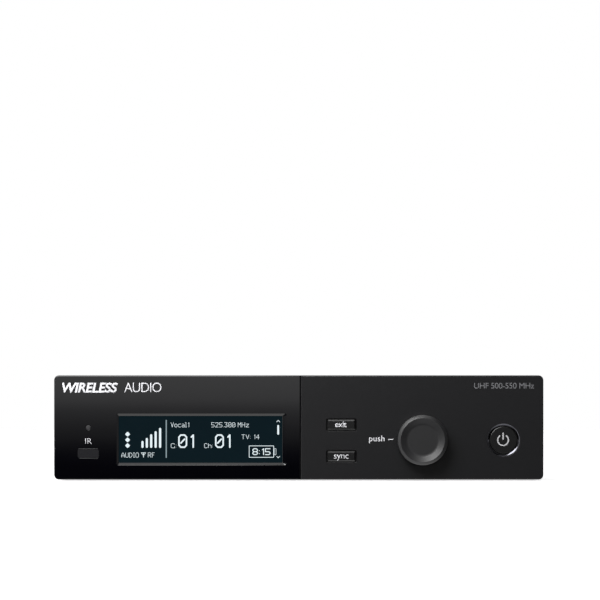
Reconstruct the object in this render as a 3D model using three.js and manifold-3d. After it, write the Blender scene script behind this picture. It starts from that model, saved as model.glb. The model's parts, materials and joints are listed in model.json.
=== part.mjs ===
// A half-rack wireless microphone receiver, as an assembly of its real pieces.
// Millimetres, +Z up, the fascia facing -Y. The origin is on the surface that the feet stand on,
// under the middle of the whole object. Inside this file y counts back from the fascia's face,
// and the exported group is moved at the end so that the object's middle is over the origin.

import * as THREE from 'three';
import { mergeVertices } from 'three/addons/utils/BufferGeometryUtils.js';
import Module from 'manifold-3d';

const wasm = await Module();
wasm.setup();

// ---------------------------------------------------------------- driving sizes

const WIDTH = 197; // fascia, side to side
const FASCIA_HEIGHT = 42; // fascia, bottom edge to top edge
const BODY_DEPTH = 130; // fascia's face to the rear panel's outer face
const CORNER_RADIUS = 2; // fascia's four outer corners

// Clearances. SEAT parts two pieces that rest on each other, FIT one that is slid into another,
// and RUN one that moves in another.
const SEAT = 0.1;
const FIT = 0.3;
const RUN = 0.25;

// Steel case
const SHEET = 1.2; // sheet thickness
const SIDE_STEP = 1; // the case is this much narrower than the fascia on each side
const TOP_STEP = 0.8; // and this much lower at the top
const FOOT_HEIGHT = 2.2;
const FOOT_RADIUS = 6.5;
const FASCIA_LIFT = 0.3; // fascia's lower edge above the surface
const BEND_RADIUS = 1.8; // outside of the cover's two long bends
const SIDE_FLANGE = 14; // height of the tray's side flanges
const FOOT_INSET = 17; // feet, from the sides of the fascia
const FRONT_FOOT_Y = 28;
const REAR_FOOT_FROM_REAR = 14;

// Front moulding
const BEZEL_DEPTH = 12;
const SPIGOT_DEPTH = 7; // the part of the moulding that slides into the case
const SPIGOT_WALL = 1.6;
const CONTROL_WALL = 2.5; // front wall behind and around the controls
const LENS_WALL = 1.2; // thinner wall that carries the gloss lens
const LENS_THICKNESS = 2;
const LENS_WIDTH = 99.05;
const SPLIT_GAP = 0.3; // groove between the lens and the control side

// Display opening, from the lens's left edge and from the fascia's lower edge
const WINDOW_LEFT = 26;
const WINDOW_BOTTOM = 6.75;
const WINDOW_WIDTH = 65.9;
const WINDOW_HEIGHT = 18.9;
const WINDOW_BEVEL = { left: 1.2, right: 1.6, top: 1.2, bottom: 1 };
const WINDOW_BEVEL_DEPTH = 0.75;
const PANE_MARGIN = 1; // how far the clear pane reaches behind the lens
const MODULE_MARGIN = 3; // and the display module

// Infrared window and its light, from the lens's left edge and the fascia's lower edge
const IR_X = 13.7;
const IR_Z = 10.6;
const IR_WIDTH = 8.5;
const IR_HEIGHT = 4.15;
const IR_RADIUS = 0.9;
const STATUS_Z = 20.9;
const STATUS_RADIUS = 0.95;

// Push buttons: two small keys and a round one
const KEY_WIDTH = 11.3;
const KEY_HEIGHT = 4.1;
const KEY_GAP = 0.43;
const KEY_PROUD = 0.7; // how far a key stands out of the fascia
const KEY_CHAMFER = 0.5;
const KEY_X = 16.3; // from the groove
const EXIT_Z = 22.1; // above the fascia's lower edge
const SYNC_Z = 9.4;
const CAP_FLANGE = 1.15; // rim behind the wall that keeps a cap in
const CAP_FLANGE_THICK = 0.9;
const BUTTON_TRAVEL = 0.5;
const POWER_FROM_RIGHT = 16.1;
const CONTROL_Z = 15.95; // knob and power button, above the fascia's lower edge
const POWER_RADIUS = 5.45;
const POWER_GAP = 0.45;
const POWER_BEVEL = 0.75;
const POWER_SUNK = 0.15;

// Switches on the front board
const FRONT_BOARD_Y = 9; // the board's face, back from the fascia's
const BOARD_THICK = 1.6;
const SWITCH_SIDE = 6.2;
const SWITCH_HEIGHT = 3.45;
const STEM_RADIUS = 1.6;
const PLUNGER_RADIUS = 1.7;
const PLUNGER_PROUD = 0.9; // how far it stands out of its switch at rest
const PLUNGER_SUNK = 2.6; // and how far it reaches into it

// Push and turn encoder
const KNOB_FROM_RIGHT = 48.9;
const KNOB_RADIUS = 10.05;
const KNOB_REACH = 9.5; // fascia's face to the knob's rim
const KNOB_GAP = 1; // fascia's face to the knob's back
const KNOB_RIM_ROUND = 1.3;
const KNOB_DISH_OUTER = 8.7;
const KNOB_DISH_FLOOR = 6.5;
const KNOB_DISH_DEPTH = 0.8;
const KNOB_WALL = 1.6;
const KNOB_HUB_RADIUS = 4.6;
const SHAFT_RADIUS = 3;
const SHAFT_FLAT = 1.5; // flat of the D, from the axis
const COLLAR_RADIUS = 3.9;
const BUSHING_RADIUS = 3.7;
const BUSHING_PROUD = 0.4;
const ENCODER_SIDE = 12;
const ENCODER_FLOOR = 0.65;

// Main board and what stands on it
const STANDOFF_HEIGHT = 6;
const STANDOFF_RADIUS = 2.7;
const MAIN_BOARD_FRONT = 24;
const BOARD_MARGIN = 4; // main board to the tray's flanges
const RIBBON_WIDTH = 20;
const RIBBON_THICK = 0.3;

// Rear connectors: x from the middle, or from the sides for the two antenna jacks
const BNC_INSET = 14.5;
const BNC_BODY = 14.5;
const BNC_BODY_DEPTH = 16.7;
const BNC_HEIGHT = 10.9; // axis above the board
const BNC_RADIUS = 4.75;
const BNC_BORE = 4.05;
const BNC_REACH = 12.5; // rear panel to the jack's tip
const BNC_INSULATOR = 2.45;
const XLR_X = -14;
const XLR_HEIGHT = 13; // axis above the board
const XLR_FLANGE_WIDTH = 26;
const XLR_FLANGE_HEIGHT = 31;
const XLR_FLANGE_THICK = 1.6;
const XLR_BARREL = 11.5;
const XLR_BORE = 9.5;
const XLR_BARREL_DEPTH = 18;
const XLR_SCREW = { x: 9.5, z: 11.3 }; // from the axis
const XLR_PIN_CIRCLE = 4.4;
const XLR_PIN_RADIUS = 1.2;
const LINE_X = -50;
const LINE_BODY = 15;
const LINE_DEPTH = 27;
const LINE_BORE = 3.25;
const LINE_BUSHING = 5.6;
const LINE_BUSHING_PROUD = 3.2;
const DC_X = 60;
const DC_WIDTH = 9;
const DC_HEIGHT = 11;
const DC_DEPTH = 14;
const DC_BORE = 3.1;
const DC_PIN = 1;
const ETHERNET_X = 36;
const ETHERNET_WIDTH = 16;
const ETHERNET_HEIGHT = 13.6;
const ETHERNET_DEPTH = 21;
const LEVEL_X = 10;
const LEVEL_TRAVEL = 4;
const LEVEL_SLIDER_WIDTH = 3.4;
const LEVEL_SLIDER_HEIGHT = 3;
const LEVEL_BODY = { width: 12, height: 6, depth: 7 };
const HEX_NUT_FLATS = 14;
const HEX_NUT_THICK = 2.3;

// Fasteners: countersunk screws in the case, pan heads elsewhere
const SCREW_HEAD = 2.75;
const SCREW_SHANK = 1.4;
const SCREW_LENGTH = 5;
const PAN_HEAD_THICK = 1.5;

const ROUND = 32; // sides of a round piece
const SMALL_ROUND = 16; // sides of a small round piece, such as a screw or a pin
const KNOB_SIDES = 48;

// ---------------------------------------------------------------- worked out from them

const right = WIDTH / 2;
const left = -right;
const fasciaTop = FASCIA_LIFT + FASCIA_HEIGHT;
const above = (height) => FASCIA_LIFT + height; // z of a height above the fascia's lower edge

const caseBottom = FOOT_HEIGHT + SEAT;
const caseTop = fasciaTop - TOP_STEP;
const caseHalf = right - SIDE_STEP;
const caseFront = BEZEL_DEPTH + FIT;
const floorTop = caseBottom + SHEET;
const trayHalf = caseHalf - SHEET - SEAT;
const flangeInner = trayHalf - SHEET;
const rearWallInner = BODY_DEPTH - SHEET;
const flangeTop = caseBottom + SIDE_FLANGE;

const spigotHalf = flangeInner - FIT;
const spigotZ = [floorTop + FIT, caseTop - SHEET - FIT];
const spigotEnd = BEZEL_DEPTH + SPIGOT_DEPTH;
const pocketHalf = spigotHalf - SPIGOT_WALL;
const pocketZ = [spigotZ[0] + SPIGOT_WALL, spigotZ[1] - SPIGOT_WALL];

const lensRight = left + LENS_WIDTH;
const splitX = lensRight + SPLIT_GAP;
const lensBack = LENS_THICKNESS;
const lensWallFront = lensBack + SEAT;
const lensWallBack = lensWallFront + LENS_WALL;
const windowX = [left + WINDOW_LEFT, left + WINDOW_LEFT + WINDOW_WIDTH];
const windowZ = [above(WINDOW_BOTTOM), above(WINDOW_BOTTOM + WINDOW_HEIGHT)];
const irX = left + IR_X;

const keyX = splitX + KEY_X;
const powerX = right - POWER_FROM_RIGHT;
const knobX = right - KNOB_FROM_RIGHT;
const controlZ = above(CONTROL_Z);
const switchFront = FRONT_BOARD_Y - SEAT / 2 - SWITCH_HEIGHT;
const plungerFront = switchFront - PLUNGER_PROUD;
const frontBoardBack = FRONT_BOARD_Y + BOARD_THICK;

const boardBottom = floorTop + STANDOFF_HEIGHT;
const boardTop = boardBottom + BOARD_THICK;
const onBoard = boardTop + SEAT / 2; // what stands on the main board starts here
const boardHalf = flangeInner - BOARD_MARGIN;
const boardBack = rearWallInner - FIT;
const bncX = right - BNC_INSET;
const bncZ = boardTop + BNC_HEIGHT;
const xlrZ = boardTop + XLR_HEIGHT;
const lineZ = onBoard + LINE_BODY / 2;
const dcZ = onBoard + DC_HEIGHT / 2 + 0.6;
const levelZ = onBoard + LEVEL_BODY.height / 2;

// ---------------------------------------------------------------- shape helpers

// A closed mesh as a solid for cutting and joining.
function solidOf(geometry) {
  const bare = geometry.clone();
  bare.deleteAttribute('normal');
  bare.deleteAttribute('uv');
  const merged = mergeVertices(bare, 1e-4);
  return new wasm.Manifold(
    new wasm.Mesh({
      numProp: 3,
      vertProperties: merged.attributes.position.array,
      triVerts: Uint32Array.from(merged.index.array),
    }),
  );
}

// A finished solid as the geometry of a mesh.
function geometryOf(solid) {
  const mesh = solid.getMesh();
  const geometry = new THREE.BufferGeometry();
  geometry.setAttribute('position', new THREE.BufferAttribute(mesh.vertProperties, 3));
  geometry.setIndex(new THREE.BufferAttribute(mesh.triVerts, 1));
  geometry.computeVertexNormals();
  return geometry;
}

// A box between two values on each axis.
function block([x0, x1], [y0, y1], [z0, z1]) {
  const box = new THREE.BoxGeometry(x1 - x0, y1 - y0, z1 - z0);
  return solidOf(box.translate((x0 + x1) / 2, (y0 + y1) / 2, (z0 + z1) / 2));
}

// A round bar along y, or a six-sided one with sides = 6, about the axis through (x, z).
function barY(radius, [y0, y1], [x, z] = [0, 0], sides = ROUND) {
  const bar = new THREE.CylinderGeometry(radius, radius, y1 - y0, sides);
  return solidOf(bar.translate(x, (y0 + y1) / 2, z));
}

// A round bar along z about the axis through (x, y), with its own radius at the top.
function barZ(radius, [z0, z1], [x, y] = [0, 0], topRadius = radius) {
  const bar = new THREE.CylinderGeometry(topRadius, radius, z1 - z0, SMALL_ROUND);
  bar.rotateX(Math.PI / 2);
  return solidOf(bar.translate(x, y, (z0 + z1) / 2));
}

// A round bar along x, with its own radius at the end that has the higher x.
function barX(radius, [x0, x1], [y, z], endRadius = radius) {
  const bar = new THREE.CylinderGeometry(endRadius, radius, x1 - x0, SMALL_ROUND);
  bar.rotateZ(-Math.PI / 2);
  return solidOf(bar.translate((x0 + x1) / 2, y, z));
}

// A profile of [radius, y] points turned about the y axis, listed from the axis outwards along
// its end with the lower y, and home to the axis along the other.
function turned(profile, sides = ROUND) {
  const points = profile.map(([radius, y]) => new THREE.Vector2(radius, y));
  return solidOf(new THREE.LatheGeometry(points, sides));
}

// A rectangle with round corners in the x-z plane, between two values on each axis.
function roundedRectangle([x0, x1], [z0, z1], radius) {
  const shape = new THREE.Shape();
  const r = radius;
  shape.moveTo(x0 + r, z0);
  shape.lineTo(x1 - r, z0);
  shape.absarc(x1 - r, z0 + r, r, -Math.PI / 2, 0);
  shape.lineTo(x1, z1 - r);
  shape.absarc(x1 - r, z1 - r, r, 0, Math.PI / 2);
  shape.lineTo(x0 + r, z1);
  shape.absarc(x0 + r, z1 - r, r, Math.PI / 2, Math.PI);
  shape.lineTo(x0, z0 + r);
  shape.absarc(x0 + r, z0 + r, r, Math.PI, Math.PI * 1.5);
  return shape;
}

// An x-z shape as a plate between two values of y.
function plate(shape, [y0, y1], curveSegments = 5) {
  const slab = new THREE.ExtrudeGeometry(shape, {
    depth: y1 - y0,
    bevelEnabled: false,
    curveSegments,
  });
  slab.rotateX(Math.PI / 2);
  return solidOf(slab.translate(0, y1, 0));
}

// A y-z shape as a plate between two values of x.
function plateAcross(shape, [x0, x1], curveSegments = 8) {
  const slab = new THREE.ExtrudeGeometry(shape, {
    depth: x1 - x0,
    bevelEnabled: false,
    curveSegments,
  });
  slab.rotateY(Math.PI / 2);
  slab.rotateX(Math.PI / 2);
  return solidOf(slab.translate(x0, 0, 0));
}

// A four-sided funnel: a rectangle at y0 that narrows to another at y1.
function funnel(wide, narrow, [y0, y1]) {
  const corners = ({ x, z }, y) => [
    [x[0], y, z[0]],
    [x[1], y, z[0]],
    [x[1], y, z[1]],
    [x[0], y, z[1]],
  ];
  const vertices = [...corners(wide, y0), ...corners(narrow, y1)].flat();
  const faces = [
    [0, 1, 2], [0, 2, 3], [4, 6, 5], [4, 7, 6],
    [0, 5, 1], [0, 4, 5], [1, 6, 2], [1, 5, 6],
    [2, 7, 3], [2, 6, 7], [3, 4, 0], [3, 7, 4],
  ].flat();
  const geometry = new THREE.BufferGeometry();
  geometry.setAttribute('position', new THREE.Float32BufferAttribute(vertices, 3));
  geometry.setIndex(faces);
  return solidOf(geometry);
}

const grown = ([low, high], by) => [low - by, high + by];
const around = (middle, size) => [middle - size / 2, middle + size / 2];

// ---------------------------------------------------------------- materials

const material = (color, roughness, metalness = 0) =>
  new THREE.MeshStandardMaterial({ color, roughness, metalness });

const paintedSteel = material(0x1b1b1d, 0.6, 0.2);
const matteAbs = material(0x1f1f21, 0.6);
const glossAcrylic = material(0x060607, 0.1);
const clearPane = material(0x0c1b21, 0.05);
const smokedWindow = material(0x232227, 0.25);
const softRubber = material(0x151515, 0.9);
const softTouch = material(0x2b2b2d, 0.7);
const boardGreen = material(0x14402a, 0.5);
const nickel = material(0xb8b6b0, 0.3, 1);
const blackOxide = material(0x202022, 0.4, 0.8);
const tinPlate = material(0xa9abab, 0.35, 1);
const nylon = material(0x111112, 0.5);
const paleNylon = material(0xd8d8d4, 0.5);
const displayGlass = material(0x0c1b21, 0.2);
const ribbonFilm = material(0xe4e4e0, 0.5);

const receiver = new THREE.Group();
const frontPanel = new THREE.Group();
const steelCase = new THREE.Group();
const electronics = new THREE.Group();
const rearPanel = new THREE.Group();
rearPanel.position.y = BODY_DEPTH; // its pieces count y from the rear panel's outer face
receiver.add(frontPanel, steelCase, electronics, rearPanel);

function add(group, name, solid, finish, position = [0, 0, 0]) {
  const mesh = new THREE.Mesh(geometryOf(solid), finish);
  mesh.name = name;
  mesh.position.set(...position);
  group.add(mesh);
}

// ---------------------------------------------------------------- where fasteners and feet go

const feet = [
  ['foot_front_left', left + FOOT_INSET, FRONT_FOOT_Y],
  ['foot_front_right', right - FOOT_INSET, FRONT_FOOT_Y],
  ['foot_rear_left', left + FOOT_INSET, BODY_DEPTH - REAR_FOOT_FROM_REAR],
  ['foot_rear_right', right - FOOT_INSET, BODY_DEPTH - REAR_FOOT_FROM_REAR],
];

const coverScrewZ = caseBottom + SIDE_FLANGE / 2 + 1;
const coverScrewY = { front: caseFront + 28, rear: BODY_DEPTH - 20 };
const rackHoleY = caseFront + 9;
const rackHoleZ = [caseBottom + 25, caseBottom + 33];
const RACK_HOLE = 2;

const bezelScrewX = WIDTH / 2 - 38.5;
const bezelScrewY = (BEZEL_DEPTH + spigotEnd) / 2 + 0.7;
const BEZEL_BOSS_HEIGHT = 6.2;

const boardScrews = [
  ['board_screw_front_left', -(boardHalf - 6), MAIN_BOARD_FRONT + 6],
  ['board_screw_front_right', boardHalf - 6, MAIN_BOARD_FRONT + 6],
  ['board_screw_rear_left', -(boardHalf - 6), BODY_DEPTH - 30],
  ['board_screw_rear_right', boardHalf - 6, BODY_DEPTH - 30],
];

const xlrScrews = [
  [XLR_X - XLR_SCREW.x, xlrZ + XLR_SCREW.z],
  [XLR_X + XLR_SCREW.x, xlrZ - XLR_SCREW.z],
];

const frontBoardScrewX = pocketHalf - 5.1;
const frontBoardScrewZ = pocketZ[1] - 3.6;
const SMALL_SCREW = { head: 2.2, headThick: 1.3, shank: 0.9, reach: 3.6 };

// ---------------------------------------------------------------- front moulding and lens

// The lens's outline: round at the two outer corners, square along the groove.
function lensOutline() {
  const r = CORNER_RADIUS;
  const shape = new THREE.Shape();
  shape.moveTo(lensRight, FASCIA_LIFT);
  shape.lineTo(lensRight, fasciaTop);
  shape.lineTo(left + r, fasciaTop);
  shape.absarc(left + r, fasciaTop - r, r, Math.PI / 2, Math.PI);
  shape.lineTo(left, FASCIA_LIFT + r);
  shape.absarc(left + r, FASCIA_LIFT + r, r, Math.PI, Math.PI * 1.5);
  return shape;
}

function displayLens() {
  const bevel = WINDOW_BEVEL;
  const past = 0.5; // the funnel starts this far in front of the face, so that it cuts cleanly
  const share = 1 + past / WINDOW_BEVEL_DEPTH;
  const start = {
    x: [windowX[0] - bevel.left * share, windowX[1] + bevel.right * share],
    z: [windowZ[0] - bevel.bottom * share, windowZ[1] + bevel.top * share],
  };
  return plate(lensOutline(), [0, LENS_THICKNESS])
    .subtract(block(windowX, [-1, LENS_THICKNESS + 1], windowZ))
    .subtract(funnel(start, { x: windowX, z: windowZ }, [-past, WINDOW_BEVEL_DEPTH]))
    .subtract(irHole(SEAT, [-1, LENS_THICKNESS + 1]))
    .subtract(barY(STATUS_RADIUS + SEAT, [-1, 4], [irX, above(STATUS_Z)], SMALL_ROUND));
}

// The infrared window's outline, grown by a gap on each side, as a plug along y.
function irHole(gap, y) {
  const x = around(irX, IR_WIDTH + 2 * gap);
  const z = around(above(IR_Z), IR_HEIGHT + 2 * gap);
  return plate(roundedRectangle(x, z, IR_RADIUS + gap), y, 4);
}

function keyOpening(z) {
  const gap = KEY_GAP;
  const x = around(keyX, KEY_WIDTH + 2 * gap);
  return plate(roundedRectangle(x, around(above(z), KEY_HEIGHT + 2 * gap), 0.6), [-1, 4], 3);
}

function frontBezel() {
  const outline = roundedRectangle([left, right], [FASCIA_LIFT, fasciaTop], CORNER_RADIUS);
  const spigot = block([-spigotHalf, spigotHalf], [BEZEL_DEPTH - 1, spigotEnd], spigotZ);
  const pocketRight = [splitX + LENS_WALL, pocketHalf];
  const pocketLeft = [-pocketHalf, splitX + LENS_WALL + 1];
  let bezel = plate(outline, [0, BEZEL_DEPTH])
    .add(spigot)
    .subtract(block([left - 1, splitX], [-1, lensWallFront], [-1, fasciaTop + 1]))
    .subtract(block(pocketLeft, [lensWallBack, spigotEnd + 1], pocketZ))
    .subtract(block(pocketRight, [CONTROL_WALL, spigotEnd + 1], pocketZ));

  // Bosses: two take the front board's screws, two only hold it off the wall.
  const bossEnd = FRONT_BOARD_Y - SEAT;
  const wallMiddle = { left: (lensWallFront + lensWallBack) / 2, right: CONTROL_WALL / 2 };
  for (const side of [-1, 1]) {
    const at = [side * frontBoardScrewX, frontBoardScrewZ];
    const bossStart = side < 0 ? wallMiddle.left : wallMiddle.right;
    bezel = bezel
      .add(barY(2.4, [bossStart, bossEnd], at, SMALL_ROUND))
      .subtract(barY(SMALL_SCREW.shank + SEAT, [bossEnd - 4.2, bossEnd + 1], at, SMALL_ROUND));
  }
  for (const x of [splitX + 4, pocketHalf - 2.4]) {
    const at = [x, pocketZ[0] + 2.8];
    bezel = bezel.add(barY(2, [wallMiddle.right, bossEnd], at, SMALL_ROUND));
  }

  // Two blocks behind the board take the screws that come up through the tray.
  const blockZ = [spigotZ[0] + SPIGOT_WALL / 2, spigotZ[0] + BEZEL_BOSS_HEIGHT];
  for (const side of [-1, 1]) {
    const x = side * bezelScrewX;
    bezel = bezel
      .add(block(around(x, 8), [frontBoardBack + 1.2, spigotEnd], blockZ))
      .subtract(barZ(SCREW_SHANK + SEAT, [0, caseBottom + SCREW_LENGTH + 0.5], [x, bezelScrewY]));
  }

  // Openings for the display, the infrared window and the controls.
  const powerBevel = turned([
    [0, -0.5],
    [POWER_RADIUS + POWER_GAP + POWER_BEVEL + 0.5, -0.5],
    [POWER_RADIUS + POWER_GAP - 0.2, POWER_BEVEL + 0.2],
    [0, POWER_BEVEL + 0.2],
  ]).translate([powerX, 0, controlZ]);
  const paneOpening = PANE_MARGIN + SEAT;
  return bezel
    .subtract(block(grown(windowX, paneOpening), [0, 5], grown(windowZ, paneOpening)))
    .subtract(irHole(FIT, [0, 5]))
    .subtract(barY(STATUS_RADIUS + FIT, [0, 5], [irX, above(STATUS_Z)], SMALL_ROUND))
    .subtract(keyOpening(EXIT_Z))
    .subtract(keyOpening(SYNC_Z))
    .subtract(barY(BUSHING_RADIUS + FIT, [-1, 4], [knobX, controlZ]))
    .subtract(barY(POWER_RADIUS + POWER_GAP, [-1, 4], [powerX, controlZ]))
    .subtract(powerBevel);
}

function displayPane() {
  const x = grown(windowX, PANE_MARGIN);
  const z = grown(windowZ, PANE_MARGIN);
  return block(x, [lensBack + SEAT, lensWallBack - SEAT / 2], z);
}

// ---------------------------------------------------------------- buttons and their switches

// A cap's back: a rim that the wall keeps in, and a stem that reaches the switch's plunger.
function capBack(x, z, rim) {
  const rimFront = CONTROL_WALL + SEAT;
  const stem = barY(STEM_RADIUS, [rimFront, plungerFront - SEAT / 2], [x, z], SMALL_ROUND);
  return stem.add(rim([rimFront, rimFront + CAP_FLANGE_THICK]));
}

function keyCap(z) {
  const middle = above(z);
  const x = around(keyX, KEY_WIDTH);
  const zs = around(middle, KEY_HEIGHT);
  const face = { x: grown(x, -KEY_CHAMFER), z: grown(zs, -KEY_CHAMFER) };
  const body = block(x, [-KEY_PROUD + KEY_CHAMFER, CONTROL_WALL + SEAT + 0.1], zs);
  const rimX = grown(x, CAP_FLANGE);
  const rimZ = grown(zs, CAP_FLANGE);
  return funnel(face, { x, z: zs }, [-KEY_PROUD, -KEY_PROUD + KEY_CHAMFER])
    .add(body)
    .add(capBack(keyX, middle, (y) => block(rimX, y, rimZ)));
}

function powerCap() {
  const rimRadius = POWER_RADIUS + CAP_FLANGE;
  const round = 0.3;
  const cap = turned([
    [0, POWER_SUNK],
    [POWER_RADIUS - round, POWER_SUNK],
    [POWER_RADIUS, POWER_SUNK + round],
    [POWER_RADIUS, CONTROL_WALL + SEAT + 0.1],
    [0, CONTROL_WALL + SEAT + 0.1],
  ]).translate([powerX, 0, controlZ]);
  return cap.add(capBack(powerX, controlZ, (y) => barY(rimRadius, y, [powerX, controlZ])));
}

function tactSwitch(x, z) {
  const y = [switchFront, FRONT_BOARD_Y - SEAT / 2];
  const well = [switchFront - 1, switchFront + PLUNGER_SUNK + BUTTON_TRAVEL + SEAT];
  return block(around(x, SWITCH_SIDE), y, around(z, SWITCH_SIDE)).subtract(
    barY(PLUNGER_RADIUS + RUN, well, [x, z], SMALL_ROUND),
  );
}

function switchPlunger(x, z) {
  return barY(PLUNGER_RADIUS, [plungerFront, switchFront + PLUNGER_SUNK], [x, z], SMALL_ROUND);
}

// ---------------------------------------------------------------- push and turn encoder

const encoderFront = CONTROL_WALL + SEAT;
const encoderBack = FRONT_BOARD_Y - SEAT / 2;
const collarY = [encoderFront + 1.2, encoderFront + 2.2];
const shaftEnd = collarY[1] + 0.6;
const pushPlateY = [shaftEnd + SEAT, shaftEnd + SEAT + 1.6];

function encoderBody() {
  const at = [knobX, controlZ];
  const y = [encoderFront, encoderBack];
  const wellRadius = COLLAR_RADIUS + RUN;
  return block(around(knobX, ENCODER_SIDE), y, around(controlZ, ENCODER_SIDE))
    .add(barY(BUSHING_RADIUS, [-BUSHING_PROUD, encoderFront + 0.5], at))
    .subtract(barY(SHAFT_RADIUS + RUN, [-2, encoderFront + 1.2], at))
    .subtract(barY(wellRadius, [encoderFront + 1, encoderBack - ENCODER_FLOOR], at));
}

const shaftTip = -(KNOB_REACH - KNOB_DISH_DEPTH - KNOB_WALL - 0.4);

// A bar with the flat of a D along one side, from the tip to just in front of the bushing.
function dBar(radius, flat, [y0, y1]) {
  return barY(radius, [y0, y1]).subtract(block([-5, 5], [y0 - 1, y1 + 1], [flat, 5]));
}

function encoderShaft() {
  const shoulder = -BUSHING_PROUD - 0.3;
  return dBar(SHAFT_RADIUS, SHAFT_FLAT, [shaftTip, shoulder])
    .add(barY(SHAFT_RADIUS, [shoulder - 0.1, shaftEnd]))
    .add(barY(COLLAR_RADIUS, collarY));
}

function encoderKnob() {
  const front = -KNOB_REACH;
  const back = -KNOB_GAP;
  const round = KNOB_RIM_ROUND;
  const arc = [4, 3, 2, 1, 0].map((step) => {
    const angle = (step / 4) * (Math.PI / 2);
    const radius = KNOB_RADIUS - round + round * Math.cos(angle);
    return [radius, front + round - round * Math.sin(angle)];
  });
  const dishFloor = front + KNOB_DISH_DEPTH;
  const dish = [[0, dishFloor], [KNOB_DISH_FLOOR, dishFloor], [KNOB_DISH_OUTER - 0.1, front]];
  const body = turned([...dish, ...arc, [KNOB_RADIUS, back], [0, back]], KNOB_SIDES);
  const hollowFront = dishFloor + KNOB_WALL;
  const hollow = barY(KNOB_RADIUS - KNOB_WALL, [hollowFront, back + 1], [0, 0], KNOB_SIDES);
  const hub = barY(KNOB_HUB_RADIUS, [hollowFront - 0.2, back - 0.3]);
  return body
    .subtract(hollow)
    .add(hub)
    .subtract(dBar(SHAFT_RADIUS + SEAT, SHAFT_FLAT + SEAT, [shaftTip - SEAT, back + 1]));
}

// ---------------------------------------------------------------- front board

function frontBoard() {
  const x = grown([-pocketHalf, pocketHalf], -0.6);
  const z = grown(pocketZ, -0.6);
  let board = block(x, [FRONT_BOARD_Y, frontBoardBack], z);
  for (const side of [-1, 1]) {
    const at = [side * frontBoardScrewX, frontBoardScrewZ];
    board = board.subtract(barY(SMALL_SCREW.shank + FIT, [0, 20], at, SMALL_ROUND));
  }
  return board.add(
    block(around(0, RIBBON_WIDTH + 4), [frontBoardBack - 0.2, frontBoardBack + 2], ribbonZ.front),
  );
}

function displayModule() {
  const x = grown(windowX, MODULE_MARGIN);
  const z = [pocketZ[0] + 0.5, windowZ[1] + MODULE_MARGIN];
  const glass = block(x, [lensWallBack + SEAT, lensWallBack + 1.6], z);
  const frame = block(grown(x, -1.5), [lensWallBack + 1.4, FRONT_BOARD_Y - SEAT / 2], grown(z, -1));
  return glass.add(frame);
}

function irTransceiver() {
  const body = block(around(irX, 7), [6.6, FRONT_BOARD_Y - SEAT / 2], around(above(IR_Z), 3));
  return body.add(barY(1.4, [5.6, 6.8], [irX, above(IR_Z)], SMALL_ROUND));
}

function smallScrew() {
  const head = barY(SMALL_SCREW.head, [0, SMALL_SCREW.headThick], [0, 0], SMALL_ROUND);
  return head.add(barY(SMALL_SCREW.shank, [-BOARD_THICK - SMALL_SCREW.reach, 0.2], [0, 0], 12));
}

// The film lead between the two boards: an S in the y-z plane, straight where it is plugged in.
const ribbonZ = { front: [15, 18.6], main: [onBoard - 0.25, onBoard + 3] };
const RIBBON_STRAIGHT = 2.5;
const ribbonStartY = frontBoardBack + 2 + SEAT;
const ribbonSocketY = [MAIN_BOARD_FRONT + 8, MAIN_BOARD_FRONT + 13];

function ribbonCable() {
  const z0 = (ribbonZ.front[0] + ribbonZ.front[1]) / 2;
  const z1 = onBoard + 1.6;
  const y0 = ribbonStartY;
  const y1 = ribbonSocketY[0] - SEAT;
  const bendStart = y0 + RIBBON_STRAIGHT;
  const bendEnd = y1 - RIBBON_STRAIGHT;
  const middle = (bendStart + bendEnd) / 2;
  const t = RIBBON_THICK / 2;
  const shape = new THREE.Shape();
  shape.moveTo(y0, z0 - t);
  shape.lineTo(bendStart, z0 - t);
  shape.bezierCurveTo(middle, z0 - t, middle, z1 - t, bendEnd, z1 - t);
  shape.lineTo(y1, z1 - t);
  shape.lineTo(y1, z1 + t);
  shape.lineTo(bendEnd, z1 + t);
  shape.bezierCurveTo(middle, z1 + t, middle, z0 + t, bendStart, z0 + t);
  shape.lineTo(y0, z0 + t);
  return plateAcross(shape, around(0, RIBBON_WIDTH), 12);
}

// ---------------------------------------------------------------- main board

function mainBoard() {
  const x = [-boardHalf, boardHalf];
  let board = block(x, [MAIN_BOARD_FRONT, boardBack], [boardBottom, boardTop]);
  for (const [, screwX, screwY] of boardScrews) {
    board = board.subtract(barZ(SCREW_SHANK + FIT, [0, 20], [screwX, screwY]));
  }
  return board.add(block(around(0, RIBBON_WIDTH + 4), ribbonSocketY, ribbonZ.main));
}

function rfShield() {
  const x = [-boardHalf + 16, -boardHalf + 74];
  const y = [MAIN_BOARD_FRONT + 22, BODY_DEPTH - 44];
  const wall = 0.4;
  const z = [onBoard, onBoard + 6];
  return block(x, y, z).subtract(
    block(grown(x, -wall), grown(y, -wall), [z[0] - 1, z[1] - wall]),
  );
}

function processorChip() {
  return block(around(24, 16), around(BODY_DEPTH - 62, 16), [onBoard, onBoard + 1.6]);
}

function boardScrew() {
  return barZ(2.5, [0, PAN_HEAD_THICK]).add(barZ(SCREW_SHANK, [-SCREW_LENGTH, 0.2]));
}

// ---------------------------------------------------------------- steel case

// A countersunk hole or screw head: a cone at the outside of the sheet and a straight hole.
const sinkRadius = SCREW_HEAD + SEAT;
const holeRadius = SCREW_SHANK + FIT;

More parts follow.
